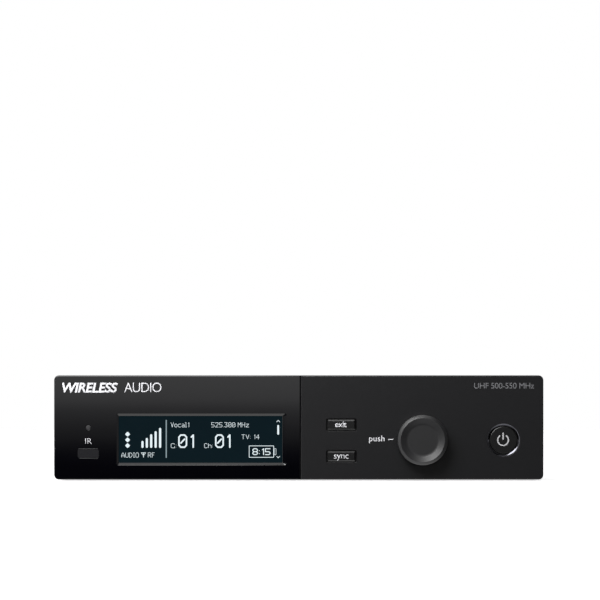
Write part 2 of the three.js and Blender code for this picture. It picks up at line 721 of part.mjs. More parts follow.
// A sheet bent down at both long edges, its top face at z = 0.
function channel(half, height, y) {
  const outer = BEND_RADIUS;
  const inner = Math.max(BEND_RADIUS - SHEET, 0.2);
  const innerHalf = half - SHEET;
  const section = new THREE.Shape();
  section.moveTo(-half, -height);
  section.lineTo(-innerHalf, -height);
  section.lineTo(-innerHalf, -SHEET - inner);
  section.absarc(-innerHalf + inner, -SHEET - inner, inner, Math.PI, Math.PI / 2, true);
  section.lineTo(innerHalf - inner, -SHEET);
  section.absarc(innerHalf - inner, -SHEET - inner, inner, Math.PI / 2, 0, true);
  section.lineTo(innerHalf, -height);
  section.lineTo(half, -height);
  section.lineTo(half, -outer);
  section.absarc(half - outer, -outer, outer, 0, Math.PI / 2);
  section.lineTo(-half + outer, 0);
  section.absarc(-half + outer, -outer, outer, Math.PI / 2, Math.PI);
  return plate(section, y, 4);
}

function chassisTray() {
  const rearOutline = roundedRectangle(
    [-trayHalf, trayHalf],
    [caseBottom, caseTop - SHEET - SEAT],
    BEND_RADIUS,
  );
  let tray = channel(trayHalf, SIDE_FLANGE, [caseFront, BODY_DEPTH])
    .rotate([0, 180, 0])
    .translate([0, 0, caseBottom])
    .add(plate(rearOutline, [rearWallInner, BODY_DEPTH], 4));

  for (const [, screwX, screwY] of boardScrews) {
    const at = [screwX, screwY];
    tray = tray
      .add(barZ(STANDOFF_RADIUS, [floorTop - 0.2, boardBottom - SEAT], at))
      .subtract(barZ(SCREW_SHANK + SEAT, [floorTop + 0.3, boardBottom + 1], at));
  }
  for (const side of [-1, 1]) {
    for (const screwY of [coverScrewY.front, coverScrewY.rear]) {
      const across = side < 0 ? [left, -flangeInner + 1] : [flangeInner - 1, right];
      tray = tray.subtract(barX(SCREW_SHANK + SEAT, across, [screwY, coverScrewZ]));
    }
    const at = [side * bezelScrewX, bezelScrewY];
    tray = tray
      .subtract(barZ(holeRadius, [0, floorTop + 1], at))
      .subtract(barZ(sinkRadius, [caseBottom, floorTop], at, holeRadius));
  }

  // Rear panel: one opening for each connector, a little larger than it.
  const through = [rearWallInner - 1, BODY_DEPTH + 1];
  for (const side of [-1, 1]) {
    tray = tray.subtract(barY(BNC_RADIUS + FIT, through, [side * bncX, bncZ]));
  }
  tray = tray
    .subtract(barY(XLR_BARREL + FIT, through, [XLR_X, xlrZ]))
    .subtract(barY(LINE_BUSHING + FIT, through, [LINE_X, lineZ]))
    .subtract(
      block(
        around(ETHERNET_X, ETHERNET_WIDTH + 2 * FIT),
        through,
        [onBoard - FIT, onBoard + ETHERNET_HEIGHT + FIT],
      ),
    )
    .subtract(
      block(around(DC_X, DC_WIDTH + 2 * FIT), through, [onBoard - FIT, onBoard + DC_HEIGHT + FIT]),
    )
    .subtract(
      block(
        around(LEVEL_X, LEVEL_SLIDER_WIDTH + LEVEL_TRAVEL + 4 * FIT),
        through,
        around(levelZ, LEVEL_SLIDER_HEIGHT + 2 * FIT),
      ),
    );
  for (const [screwX, screwZ] of xlrScrews) {
    tray = tray.subtract(barY(SCREW_SHANK + FIT, through, [screwX, screwZ], SMALL_ROUND));
  }
  return tray;
}

const VENT = { count: 10, pitch: 5, width: 2.2, height: 15, fromRear: 82 };

function topCover() {
  let cover = channel(caseHalf, caseTop - caseBottom, [caseFront, BODY_DEPTH])
    .translate([0, 0, caseTop]);
  const slotZ = around((flangeTop + caseTop) / 2, VENT.height);
  for (let slot = 0; slot < VENT.count; slot += 1) {
    const y = around(BODY_DEPTH - VENT.fromRear + slot * VENT.pitch, VENT.width);
    const slotShape = roundedRectangle(y, slotZ, VENT.width / 2 - 0.01);
    cover = cover.subtract(plateAcross(slotShape, [left, right], 3));
  }
  for (const side of [-1, 1]) {
    const sheet = side < 0 ? [-caseHalf, -caseHalf + SHEET] : [caseHalf - SHEET, caseHalf];
    const radii = side < 0 ? [sinkRadius, holeRadius] : [holeRadius, sinkRadius];
    for (const y of [coverScrewY.front, coverScrewY.rear]) {
      cover = cover
        .subtract(barX(holeRadius, grown(sheet, 1), [y, coverScrewZ]))
        .subtract(barX(radii[0], sheet, [y, coverScrewZ], radii[1]));
    }
    for (const z of rackHoleZ) {
      cover = cover.subtract(barX(RACK_HOLE, grown(sheet, 1), [rackHoleY, z]));
    }
  }
  return cover;
}

// A countersunk screw with its head's face at z = 0 and its shank going up.
function countersunkScrew() {
  const cone = barZ(SCREW_HEAD, [0, SHEET], [0, 0], SCREW_SHANK);
  return cone.add(barZ(SCREW_SHANK, [SHEET - 0.1, SCREW_LENGTH]));
}

function foot() {
  const chamfer = 0.5;
  return turned([
    [0, 0],
    [FOOT_RADIUS - chamfer, 0],
    [FOOT_RADIUS, chamfer],
    [FOOT_RADIUS, FOOT_HEIGHT],
    [0, FOOT_HEIGHT],
  ]).rotate([90, 0, 0]);
}

// ---------------------------------------------------------------- rear connectors

// An antenna jack: a block on the board, a threaded barrel through the panel with two lugs, and
// an insulated contact in the middle of its mouth.
function bncJack() {
  const half = BNC_BODY / 2;
  const body = block([-half, half], [-SHEET - BNC_BODY_DEPTH, -SHEET - SEAT], [-BNC_HEIGHT + 0.05, half]);
  const barrel = barY(BNC_RADIUS, [-SHEET - 1, BNC_REACH]);
  const mouth = barY(BNC_BORE, [BNC_REACH - 9, BNC_REACH + 1]);
  const insulator = barY(BNC_INSULATOR, [BNC_REACH - 9.2, BNC_REACH - 1.4], [0, 0], SMALL_ROUND);
  const contact = barY(0.65, [BNC_REACH - 5.5, BNC_REACH], [0, 0], 8);
  const lugY = BNC_REACH - 5;
  const lugs = barZ(1, [-BNC_RADIUS - 0.85, -BNC_RADIUS + 0.4], [0, lugY]).add(
    barZ(1, [BNC_RADIUS - 0.4, BNC_RADIUS + 0.85], [0, lugY]),
  );
  return body.add(barrel).subtract(mouth).add(insulator).subtract(contact).add(lugs);
}

// A hexagon nut on a threaded bushing, lying against the rear panel.
function panelNut(bushingRadius) {
  const corner = HEX_NUT_FLATS / Math.sqrt(3);
  const y = [SEAT, SEAT + HEX_NUT_THICK];
  return barY(corner, y, [0, 0], 6).subtract(barY(bushingRadius + SEAT, [-1, 5]));
}

function xlrShell() {
  const flangeX = around(0, XLR_FLANGE_WIDTH);
  const flangeZ = around(0, XLR_FLANGE_HEIGHT);
  let shell = plate(roundedRectangle(flangeX, flangeZ, 3), [SEAT, SEAT + XLR_FLANGE_THICK])
    .add(barY(XLR_BARREL, [-XLR_BARREL_DEPTH, SEAT + 0.2]))
    .subtract(barY(XLR_BORE, [-XLR_BARREL_DEPTH - 1, 3]));
  for (const [x, z] of xlrScrews) {
    const at = [x - XLR_X, z - xlrZ];
    shell = shell.subtract(barY(SCREW_SHANK + SEAT, [-1, 3], at, SMALL_ROUND));
  }
  return shell;
}

const xlrPins = [30, 150, 270].map((degrees) => {
  const angle = THREE.MathUtils.degToRad(degrees);
  return [XLR_PIN_CIRCLE * Math.cos(angle), XLR_PIN_CIRCLE * Math.sin(angle)];
});

function xlrInsert() {
  const y = [-XLR_BARREL_DEPTH + 0.3, -XLR_BARREL_DEPTH + 4.3];
  let insert = barY(XLR_BORE - SEAT, y);
  for (const at of xlrPins) {
    insert = insert.subtract(barY(XLR_PIN_RADIUS + SEAT, grown(y, 1), at, SMALL_ROUND));
  }
  return insert;
}

function xlrPin() {
  const tip = -1.6;
  const tail = -XLR_BARREL_DEPTH - 3;
  const r = XLR_PIN_RADIUS;
  return turned([[0, tail], [r, tail], [r, tip - 0.8], [r * 0.45, tip], [0, tip]], SMALL_ROUND);
}

function panScrew() {
  return barY(2.6, [0, PAN_HEAD_THICK], [0, 0], SMALL_ROUND).add(
    barY(SCREW_SHANK, [-SCREW_LENGTH, 0.2], [0, 0], SMALL_ROUND),
  );
}

function lineJack() {
  const half = LINE_BODY / 2;
  return block([-half, half], [-SHEET - LINE_DEPTH, -SHEET - SEAT], [-half, half])
    .add(barY(LINE_BUSHING, [-SHEET - 1, LINE_BUSHING_PROUD]))
    .subtract(barY(LINE_BORE, [-SHEET - LINE_DEPTH + 2, LINE_BUSHING_PROUD + 1]));
}

function dcInlet() {
  const x = around(0, DC_WIDTH);
  const z = [onBoard - dcZ, onBoard - dcZ + DC_HEIGHT];
  return block(x, [-DC_DEPTH, SEAT], z)
    .subtract(barY(DC_BORE, [-10, 1]))
    .add(barY(DC_PIN, [-10.5, -1], [0, 0], SMALL_ROUND));
}

const ETHERNET_PORT = { width: 11.8, height: 7.2, floor: 2.6, depth: 14, latch: 6.2, latchHeight: 2 };

function ethernetJack() {
  const port = ETHERNET_PORT;
  const front = 0.4;
  const y = [front - port.depth, front + 1];
  const top = port.floor + port.latchHeight + port.height;
  return block(around(0, ETHERNET_WIDTH), [front - ETHERNET_DEPTH, front], [0, ETHERNET_HEIGHT])
    .subtract(block(around(0, port.width), y, [port.floor + port.latchHeight, top]))
    .subtract(block(around(0, port.latch), y, [port.floor, port.floor + port.latchHeight + 0.5]));
}

function levelSwitch() {
  const { width, height, depth } = LEVEL_BODY;
  const back = -SHEET - SEAT;
  const well = LEVEL_SLIDER_WIDTH + LEVEL_TRAVEL + 2 * FIT;
  return block(around(0, width), [back - depth, back], around(0, height)).subtract(
    block(around(0, well), [back - 4.6, back + 1], around(0, LEVEL_SLIDER_HEIGHT + 2 * RUN)),
  );
}

function levelSlider() {
  const x = around(-LEVEL_TRAVEL / 2, LEVEL_SLIDER_WIDTH);
  return block(x, [-SHEET - 4.3, 1.8], around(0, LEVEL_SLIDER_HEIGHT));
}

// ---------------------------------------------------------------- assembly

add(frontPanel, 'front_bezel', frontBezel(), matteAbs);
add(frontPanel, 'display_lens', displayLens(), glossAcrylic);
add(frontPanel, 'display_window', displayPane(), clearPane);
add(frontPanel, 'ir_window', irHole(0, [0.15, 5]), smokedWindow);
add(
  frontPanel,
  'status_light_pipe',
  barY(STATUS_RADIUS, [SEAT, 7.8], [irX, above(STATUS_Z)], SMALL_ROUND),
  smokedWindow,
);

const keys = { exit: [keyX, above(EXIT_Z)], sync: [keyX, above(SYNC_Z)], power: [powerX, controlZ] };
const caps = { exit: keyCap(EXIT_Z), sync: keyCap(SYNC_Z), power: powerCap() };
for (const [name, at] of Object.entries(keys)) {
  add(frontPanel, `${name}_button`, caps[name], matteAbs);
  add(frontPanel, `${name}_switch`, tactSwitch(...at), nylon);
  add(frontPanel, `${name}_switch_plunger`, switchPlunger(...at), paleNylon);
}

const onKnobAxis = [knobX, 0, controlZ];
add(frontPanel, 'encoder_body', encoderBody(), tinPlate);
add(frontPanel, 'encoder_shaft', encoderShaft(), nickel, onKnobAxis);
add(frontPanel, 'encoder_knob', encoderKnob(), softTouch, onKnobAxis);
add(frontPanel, 'encoder_push_plate', barY(3.2, pushPlateY), paleNylon, onKnobAxis);

add(frontPanel, 'front_board', frontBoard(), boardGreen);
add(frontPanel, 'display_module', displayModule(), displayGlass);
add(frontPanel, 'ir_transceiver', irTransceiver(), nylon);
for (const [side, x] of [['left', -frontBoardScrewX], ['right', frontBoardScrewX]]) {
  const at = [x, frontBoardBack + SEAT / 2, frontBoardScrewZ];
  add(frontPanel, `front_board_screw_${side}`, smallScrew(), tinPlate, at);
}

add(steelCase, 'chassis_tray', chassisTray(), paintedSteel);
add(steelCase, 'top_cover', topCover(), paintedSteel);
for (const [name, x, y] of feet) {
  add(steelCase, name, foot(), softRubber, [x, y, 0]);
}
for (const [side, sign] of [['left', -1], ['right', 1]]) {
  for (const [end, y] of Object.entries(coverScrewY)) {
    const screw = countersunkScrew().rotate([0, -90 * sign, 0]);
    add(steelCase, `cover_screw_${side}_${end}`, screw, blackOxide, [sign * caseHalf, y, coverScrewZ]);
  }
  const at = [sign * bezelScrewX, bezelScrewY, caseBottom];
  add(steelCase, `bezel_screw_${side}`, countersunkScrew(), blackOxide, at);
}

add(electronics, 'main_board', mainBoard(), boardGreen);
add(electronics, 'rf_shield', rfShield(), tinPlate);
add(electronics, 'processor_chip', processorChip(), nylon);
add(electronics, 'ribbon_cable', ribbonCable(), ribbonFilm);
for (const [name, x, y] of boardScrews) {
  add(electronics, name, boardScrew(), tinPlate, [x, y, onBoard]);
}

for (const [side, x] of [['a', -bncX], ['b', bncX]]) {
  add(rearPanel, `antenna_jack_${side}`, bncJack(), nickel, [x, 0, bncZ]);
  add(rearPanel, `antenna_nut_${side}`, panelNut(BNC_RADIUS), nickel, [x, 0, bncZ]);
}
add(rearPanel, 'xlr_shell', xlrShell(), nickel, [XLR_X, 0, xlrZ]);
add(rearPanel, 'xlr_insert', xlrInsert(), nylon, [XLR_X, 0, xlrZ]);
xlrPins.forEach(([x, z], index) => {
  add(rearPanel, `xlr_pin_${index + 1}`, xlrPin(), nickel, [XLR_X + x, 0, xlrZ + z]);
});
xlrScrews.forEach(([x, z], index) => {
  const at = [x, XLR_FLANGE_THICK + 2 * SEAT, z];
  add(rearPanel, `xlr_screw_${index + 1}`, panScrew(), blackOxide, at);
});
add(rearPanel, 'line_jack', lineJack(), nylon, [LINE_X, 0, lineZ]);
add(rearPanel, 'line_jack_nut', panelNut(LINE_BUSHING), nickel, [LINE_X, 0, lineZ]);
add(rearPanel, 'dc_inlet', dcInlet(), nylon, [DC_X, 0, dcZ]);
add(rearPanel, 'ethernet_jack', ethernetJack(), tinPlate, [ETHERNET_X, 0, onBoard]);
add(rearPanel, 'level_switch', levelSwitch(), nylon, [LEVEL_X, 0, levelZ]);
add(rearPanel, 'level_slider', levelSlider(), paleNylon, [LEVEL_X, 0, levelZ]);

// The object reaches from the knob's rim to the antenna jacks' tips; its middle goes over the origin.
receiver.position.y = -(BODY_DEPTH + BNC_REACH - KNOB_REACH) / 2;

export default receiver;
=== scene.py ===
"""Dresses the CAD frame of a half-rack wireless microphone receiver as the finished object.

Lengths are in millimetres, and turn into metres where a mesh, a finish or the studio is made. Places come
from the CAD nodes' boxes, in the CAD's own frame: the fascia faces -Y, +X is to its right and +Z is up.
"""

import json
import logging
import math
from dataclasses import dataclass
from enum import Enum
from typing import Any, NamedTuple, Protocol, Sequence

import bmesh
import bpy
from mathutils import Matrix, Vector


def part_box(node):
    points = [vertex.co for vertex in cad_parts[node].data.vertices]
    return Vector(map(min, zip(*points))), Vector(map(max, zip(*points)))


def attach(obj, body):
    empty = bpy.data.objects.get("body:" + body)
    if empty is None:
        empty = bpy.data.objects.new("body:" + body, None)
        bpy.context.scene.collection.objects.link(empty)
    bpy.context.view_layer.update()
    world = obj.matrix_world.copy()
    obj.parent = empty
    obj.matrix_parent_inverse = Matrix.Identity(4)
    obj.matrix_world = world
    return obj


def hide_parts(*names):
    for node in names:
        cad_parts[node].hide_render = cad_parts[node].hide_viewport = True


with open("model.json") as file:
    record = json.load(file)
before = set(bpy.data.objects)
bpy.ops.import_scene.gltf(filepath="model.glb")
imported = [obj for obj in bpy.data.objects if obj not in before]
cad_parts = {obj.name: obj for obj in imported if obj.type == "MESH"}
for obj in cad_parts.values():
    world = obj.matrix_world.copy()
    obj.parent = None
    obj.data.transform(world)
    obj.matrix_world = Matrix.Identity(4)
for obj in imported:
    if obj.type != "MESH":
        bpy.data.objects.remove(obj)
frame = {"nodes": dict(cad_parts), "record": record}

log = logging.getLogger("receiver")

MM = 0.001  # one millimetre, in metres
SEAM = 0.01  # the gap between two bodies of one piece that stand end to end
FINEST = 0.004  # the smallest radius of a corner or a circle
INK = 0.012  # how thick a screen-printed film is
SIDES = ((-1, "left"), (1, "right"))
BLACK = (0.0, 0.0, 0.0, 1.0)

Point = tuple[float, float]
Profile = Sequence[Point]
Tree = bpy.types.NodeTree
Socket = bpy.types.NodeSocket


# ------------------------------------------------------------------ outlines


class Along(Enum):
    """The axis along which a piece's outlines are stacked, with what becomes x, y and z."""

    X = (2, 0, 1)
    Y = (0, 2, 1)
    Z = (0, 1, 2)

    def place(self, u: float, v: float, depth: float) -> tuple[float, ...]:
        """Turns an outline's point and its depth, in mm, into x, y and z in metres."""
        given = (u * MM, v * MM, depth * MM)
        return tuple(given[i] for i in self.value)


class Outline(Protocol):
    """A closed outline that can be drawn smaller or larger with the same number of points."""

    def points(self, inset: float) -> list[Point]:
        """Returns the outline's points, drawn in by inset, or out where it is negative."""


@dataclass(frozen=True)
class RoundedRect:
    """A rectangle with round corners, from one corner value to another on both axes."""

    u: Point
    v: Point
    radii: tuple[float, float, float, float]  # low u low v, high u low v, high u high v, low u high v
    steps: int = 8

    @classmethod
    def about(cls, centre: Point, width: float, height: float, radius: float) -> "RoundedRect":
        """Makes one round a centre.

        Args:
            centre: The middle.
            width: Size along u.
            height: Size along v.
            radius: Radius of all four corners.

        Returns:
            The rectangle.
        """
        u = (centre[0] - width / 2, centre[0] + width / 2)
        v = (centre[1] - height / 2, centre[1] + height / 2)
        return cls(u, v, (radius,) * 4)

    def points(self, inset: float) -> list[Point]:
        """Returns the rectangle's points, anticlockwise from its low corner.

        Args:
            inset: How far to draw it in.

        Returns:
            The points of its four corners.
        """
        corners = (
            (self.u[0], self.v[0], 1, 1, math.pi),
            (self.u[1], self.v[0], -1, 1, 1.5 * math.pi),
            (self.u[1], self.v[1], -1, -1, 0.0),
            (self.u[0], self.v[1], 1, -1, 0.5 * math.pi),
        )
        drawn = []
        for (u, v, towards_u, towards_v, start), corner_radius in zip(corners, self.radii):
            radius = max(corner_radius - inset, FINEST)
            middle_u = u + towards_u * (inset + radius)
            middle_v = v + towards_v * (inset + radius)
            for step in range(self.steps + 1):
                angle = start + step / self.steps * math.pi / 2
                drawn.append((middle_u + radius * math.cos(angle), middle_v + radius * math.sin(angle)))
        return drawn


@dataclass(frozen=True)
class Disc:
    """A circle, or a regular polygon where steps is small."""

    centre: Point
    radius: float
    steps: int = 72
    turn: float = 0.0

    def points(self, inset: float) -> list[Point]:
        """Returns the circle's points, anticlockwise.

        Args:
            inset: How far to draw it in.

        Returns:
            The points.
        """
        radius = max(self.radius - inset, FINEST)
        angles = [self.turn + 2 * math.pi * step / self.steps for step in range(self.steps)]
        u, v = self.centre
        return [(u + radius * math.cos(a), v + radius * math.sin(a)) for a in angles]


@dataclass(frozen=True)
class SlopedWindow:
    """A window whose sides lean out by different widths, which an inset of -1 takes in full."""

    u: Point
    v: Point
    widths: tuple[float, float, float, float]  # left, right, bottom, top
    radius: float = 0.25
    radius_gain: float = 0.5

    def points(self, inset: float) -> list[Point]:
        """Returns the window's points, each side grown by its share of its own width.

        Args:
            inset: 0 for the clear opening, and -1 for the outer edge of its slopes.

        Returns:
            The points.
        """
        left, right, bottom, top = (-inset * width for width in self.widths)
        u = (self.u[0] - left, self.u[1] + right)
        v = (self.v[0] - bottom, self.v[1] + top)
        return RoundedRect(u, v, (self.radius - self.radius_gain * inset,) * 4).points(0.0)


@dataclass(frozen=True)
class Loop:
    """A closed outline of fixed points, which stays as it is when it is drawn in or out."""

    corners: tuple[Point, ...]

    def points(self, inset: float) -> list[Point]:
        """Returns the points as they are."""
        return list(self.corners)


@dataclass(frozen=True)
class Opening:
    """A hole through a slab: its outline, and (inset, depth) pairs from one side to the other."""

    outline: Outline
    profile: Profile


def stroke(start: Point, end: Point, width: float) -> Loop:
    """Returns the outline of a straight stroke with round ends.

    Args:
        start: One end.
        end: The other end.
        width: The stroke's width.

    Returns:
        The outline.
    """
    angle = math.atan2(end[1] - start[1], end[0] - start[0])
    around = []
    for (u, v), turn in ((end, -math.pi / 2), (start, math.pi / 2)):
        turns = [angle + turn + step / 5 * math.pi for step in range(6)]
        around += [(u + width / 2 * math.cos(a), v + width / 2 * math.sin(a)) for a in turns]
    return Loop(tuple(around))


def cross_recess(centre: Point, size: float) -> Loop:
    """Returns the outline of a cross-shaped driver recess of a size across.

    Args:
        centre: The recess's middle.
        size: From one arm's end to the other's.

    Returns:
        The outline.
    """
    arm, half = size / 2, size * 0.14
    quarter = ((arm, -half), (arm, half), (half, half))
    around = []
    for _ in range(4):
        around += quarter
        quarter = tuple((-v, u) for u, v in quarter)
    return Loop(tuple((centre[0] + u, centre[1] + v) for u, v in around))


def rounded(depth: float, radius: float, direction: int = 1, steps: int = 4) -> list[Point]:
    """Lists the (inset, depth) pairs of an outside edge's rounding.

    Args:
        depth: Where the flat face is.
        radius: The rounding's radius, or nought for a sharp edge.
        direction: +1 where the body lies at greater depth, -1 where at less.
        steps: Flat stretches in the rounding.

    Returns:
        The pairs, from the flat face to the side.
    """
    if not radius:
        return [(0.0, depth)]
    angles = [step / steps * math.pi / 2 for step in range(steps + 1)]
    return [(radius * (1 - math.sin(a)), depth + direction * radius * (1 - math.cos(a))) for a in angles]


def ended(depth: float, radius: float, steps: int = 4) -> list[Point]:
    """Lists the pairs of the rounding at a body's far end, from its side to the flat face."""
    return rounded(depth, radius, -1, steps)[::-1]


def outward(pairs: Profile) -> list[Point]:
    """Turns radii, or the insets of an outside edge, into the insets of a round hole or of a rim."""
    return [(-value, depth) for value, depth in pairs]


def flared(depth: float, radius: float, direction: int = 1, steps: int = 4) -> list[Point]:
    """Lists the pairs of a hole's rounded rim, from the flat face into the hole."""
    return outward(rounded(depth, radius, direction, steps))


def bore(centre: Point, pairs: Profile, steps: int = 48) -> Opening:
    """Returns a round hole from (radius, depth) pairs about an axis through centre."""
    return Opening(Disc(centre, 0.0, steps), outward(pairs))


def threaded(
    radius: float, start: float, end: float, pitch: float, flank: float, groove: float
) -> list[Point]:
    """Lists the (radius, depth) pairs of a thread's grooves.

    Args:
        radius: The thread's outside radius.
        start: Where the first groove starts.
        end: No groove starts behind this.
        pitch: From one groove to the next.
        flank: How long each side of a groove is.
        groove: How deep it is.

    Returns:
        The pairs.
    """
    pairs = []
    place = start
    while place < end:
        pairs += [(radius - groove, place + flank), (radius, place + 2 * flank)]
        place += pitch
    return pairs


# ------------------------------------------------------------------ places taken from the frame


class Place(NamedTuple):
    """A place or a size, in mm."""

    x: float
    y: float
    z: float


@dataclass(frozen=True)
class Box:
    """A CAD node's box, in mm: two corners, the middle, and the width, depth and height."""

    low: Place
    high: Place
    centre: Place
    size: Place

    @classmethod
    def of(cls, node: str) -> "Box":
        """Returns the box of one CAD node.

        Args:
            node: The node's name.

        Returns:
            The box.
        """
        low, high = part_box(node)
        found = (low, high, (low + high) / 2, high - low)
        return cls(*(Place(*(value / MM for value in vector)) for vector in found))

    @property
    def front(self) -> Point:
        """The middle of the box as seen from the front: x and z."""
        return self.centre.x, self.centre.z

    def face(self, radius: float, grow: float = 0.0) -> RoundedRect:
        """Returns the box's outline seen from the front, with round corners, grown on every side.

        Args:
            radius: Radius of its corners.
            grow: How much it grows on each side.

        Returns:
            The outline, in x and z.
        """
        u = (self.low.x - grow, self.high.x + grow)
        v = (self.low.z - grow, self.high.z + grow)
        return RoundedRect(u, v, (radius,) * 4)


FASCIA = Box.of("front_bezel")
FACE = FASCIA.low.y  # the fascia's front face
CASE = Box.of("top_cover")
TRAY = Box.of("chassis_tray")
LENS = Box.of("display_lens")


# ------------------------------------------------------------------ mesh building


class Shell:
    """Gathers closed bodies into one mesh."""

    sharp = math.radians(32)  # faces that meet at more than this keep a crisp edge

    def __init__(self, along: Along = Along.Y) -> None:
        """Starts an empty mesh whose outlines are stacked along one axis."""
        self.along = along
        self.bm = bmesh.new()

    def ring(self, outline: Outline, inset: float, depth: float) -> list[bmesh.types.BMVert]:
        """Draws one outline at one depth and returns its vertices."""
        return [self.bm.verts.new(self.along.place(u, v, depth)) for u, v in outline.points(inset)]

    def wall(self, first: list[bmesh.types.BMVert], second: list[bmesh.types.BMVert]) -> None:
        """Joins two rings with a band of faces.

        Args:
            first: One ring's vertices.
            second: The other's, as many.
        """
        count = len(first)
        for i in range(count):
            j = (i + 1) % count
            self.bm.faces.new((first[i], first[j], second[j], second[i])).smooth = True

    def fill(self, rings: list[list[bmesh.types.BMVert]]) -> None:
        """Closes a flat area: the first ring is its outline, and the others are holes in it.

        Args:
            rings: The vertices of each ring.
        """
        if len(rings) == 1:
            self.bm.faces.new(rings[0])
            return
        edges = []
        for ring in rings:
            for pair in zip(ring, ring[1:] + ring[:1]):
                edges.append(self.bm.edges.get(pair) or self.bm.edges.new(pair))
        made = bmesh.ops.triangle_fill(self.bm, use_beauty=True, use_dissolve=False, edges=edges)
        for face in made["geom"]:
            if isinstance(face, bmesh.types.BMFace):
                face.smooth = False  # a flat face that mirrors its surroundings without a ripple

    def slab(self, outline: Outline, profile: Profile, openings: Sequence[Opening] = ()) -> "Shell":
        """Adds a closed body whose outline follows a profile, with holes from end to end.

        Args:
            outline: The body's outline.
            profile: (inset, depth) pairs from one end to the other.
            openings: Holes, whose profiles start and end on the body's two ends.

        Returns:
            The shell itself, so that calls can follow each other.
        """
        first, last = [], []
        for shape in (Opening(outline, profile), *openings):
            rings = [self.ring(shape.outline, inset, depth) for inset, depth in shape.profile]
            for a, b in zip(rings, rings[1:]):
                self.wall(a, b)
            first.append(rings[0])
            last.append(rings[-1])
        self.fill(first)
        self.fill(last)
        return self

    def turned(
        self, centre: Point, pairs: Profile, steps: int = 72, openings: Sequence[Opening] = ()
    ) -> "Shell":
        """Adds a turned body from (radius, depth) pairs about an axis through centre."""
        return self.slab(Disc(centre, 0.0, steps), outward(pairs), openings)

    def mesh(self, name: str) -> bpy.types.Mesh:
        """Returns the mesh, with its faces turned out and its sharp edges marked.

        Args:
            name: The mesh's name.

        Returns:
            The mesh.
        """
        made = bpy.data.meshes.new(name)
        bmesh.ops.recalc_face_normals(self.bm, faces=self.bm.faces)
        curved = [face.smooth for face in self.bm.faces]
        self.bm.to_mesh(made)
        self.bm.free()
        made.set_sharp_from_angle(angle=self.sharp)
        made.polygons.foreach_set("use_smooth", curved)  # marking the edges makes every face smooth
        return made


# ------------------------------------------------------------------ node helpers


def linear(code: str) -> tuple[float, float, float, float]:
    """Turns an sRGB hex colour such as #1f1f21 into linear red, green, blue and alpha.

    Args:
        code: The hex colour.

    Returns:
        The linear colour.
    """
    parts = [int(code[i : i + 2], 16) / 255 for i in (1, 3, 5)]
    red, green, blue = (c / 12.92 if c <= 0.04045 else ((c + 0.055) / 1.055) ** 2.4 for c in parts)
    return red, green, blue, 1.0


def add(
    tree: Tree,
    kind: str,
    settings: dict[str, Any] | None = None,
    links: dict[str | int, Socket] | None = None,
) -> bpy.types.Node:
    """Adds one node to a tree.

    Args:
        tree: The node tree.
        kind: The node's Blender type.
        settings: Attributes of the node, and values of its input sockets by name.
        links: Input sockets by name or number, each with the output socket to join to it.

    Returns:
        The new node.
    """
    node = tree.nodes.new(kind)
    for key, value in (settings or {}).items():
        if key in node.inputs:
            node.inputs[key].default_value = value
        else:
            setattr(node, key, value)
    for key, output in (links or {}).items():
        tree.links.new(output, node.inputs[key])
    return node


def combined(tree: Tree, operation: str, first: Socket, *others: Socket) -> Socket:
    """Joins values one after another by one operation of the Math node.

    Args:
        tree: The node tree.
        operation: The operation's name.
        first: The first value.
        others: The values joined to it, in order.

    Returns:
        The result.
    """
    result = first
    for other in others:
        node = add(tree, "ShaderNodeMath", {"operation": operation}, {0: result, 1: other})
        result = node.outputs["Value"]
    return result


def noise(tree: Tree, place: Socket, size: float, detail: float, roughness: float) -> Socket:
    """Returns noise whose largest patches are about a size across, in mm."""
    settings = {"Scale": 1 / (size * MM), "Detail": detail, "Roughness": roughness}
    return add(tree, "ShaderNodeTexNoise", settings, {"Vector": place}).outputs["Fac"]


def blended(tree: Tree, share: Socket, first: str, second: str) -> Socket:
    """Mixes two hex colours by a share that varies over the surface.

    Args:
        tree: The node tree.
        share: The share of the second colour.
        first: One colour.
        second: The other.

    Returns:
        The mixed colour.
    """
    node = add(tree, "ShaderNodeMix", {"data_type": "RGBA"}, {"Factor": share})
    sockets = [socket for socket in node.inputs if socket.type == "RGBA"]
    for socket, code in zip(sockets, (first, second)):
        socket.default_value = linear(code)
    return next(socket for socket in node.outputs if socket.type == "RGBA")


@dataclass(frozen=True)
class Ramp:
    """A result that goes from low to high while a value goes from start to end, and holds beyond."""

    start: float
    end: float
    low: float = 0.0
    high: float = 1.0

    def of(self, tree: Tree, value: Socket) -> Socket:
        """Returns the ramp's result for a node's value."""
        settings = {"From Min": self.start, "From Max": self.end, "To Min": self.low, "To Max": self.high}
        return add(tree, "ShaderNodeMapRange", settings, {"Value": value}).outputs["Result"]


# ------------------------------------------------------------------ finishes


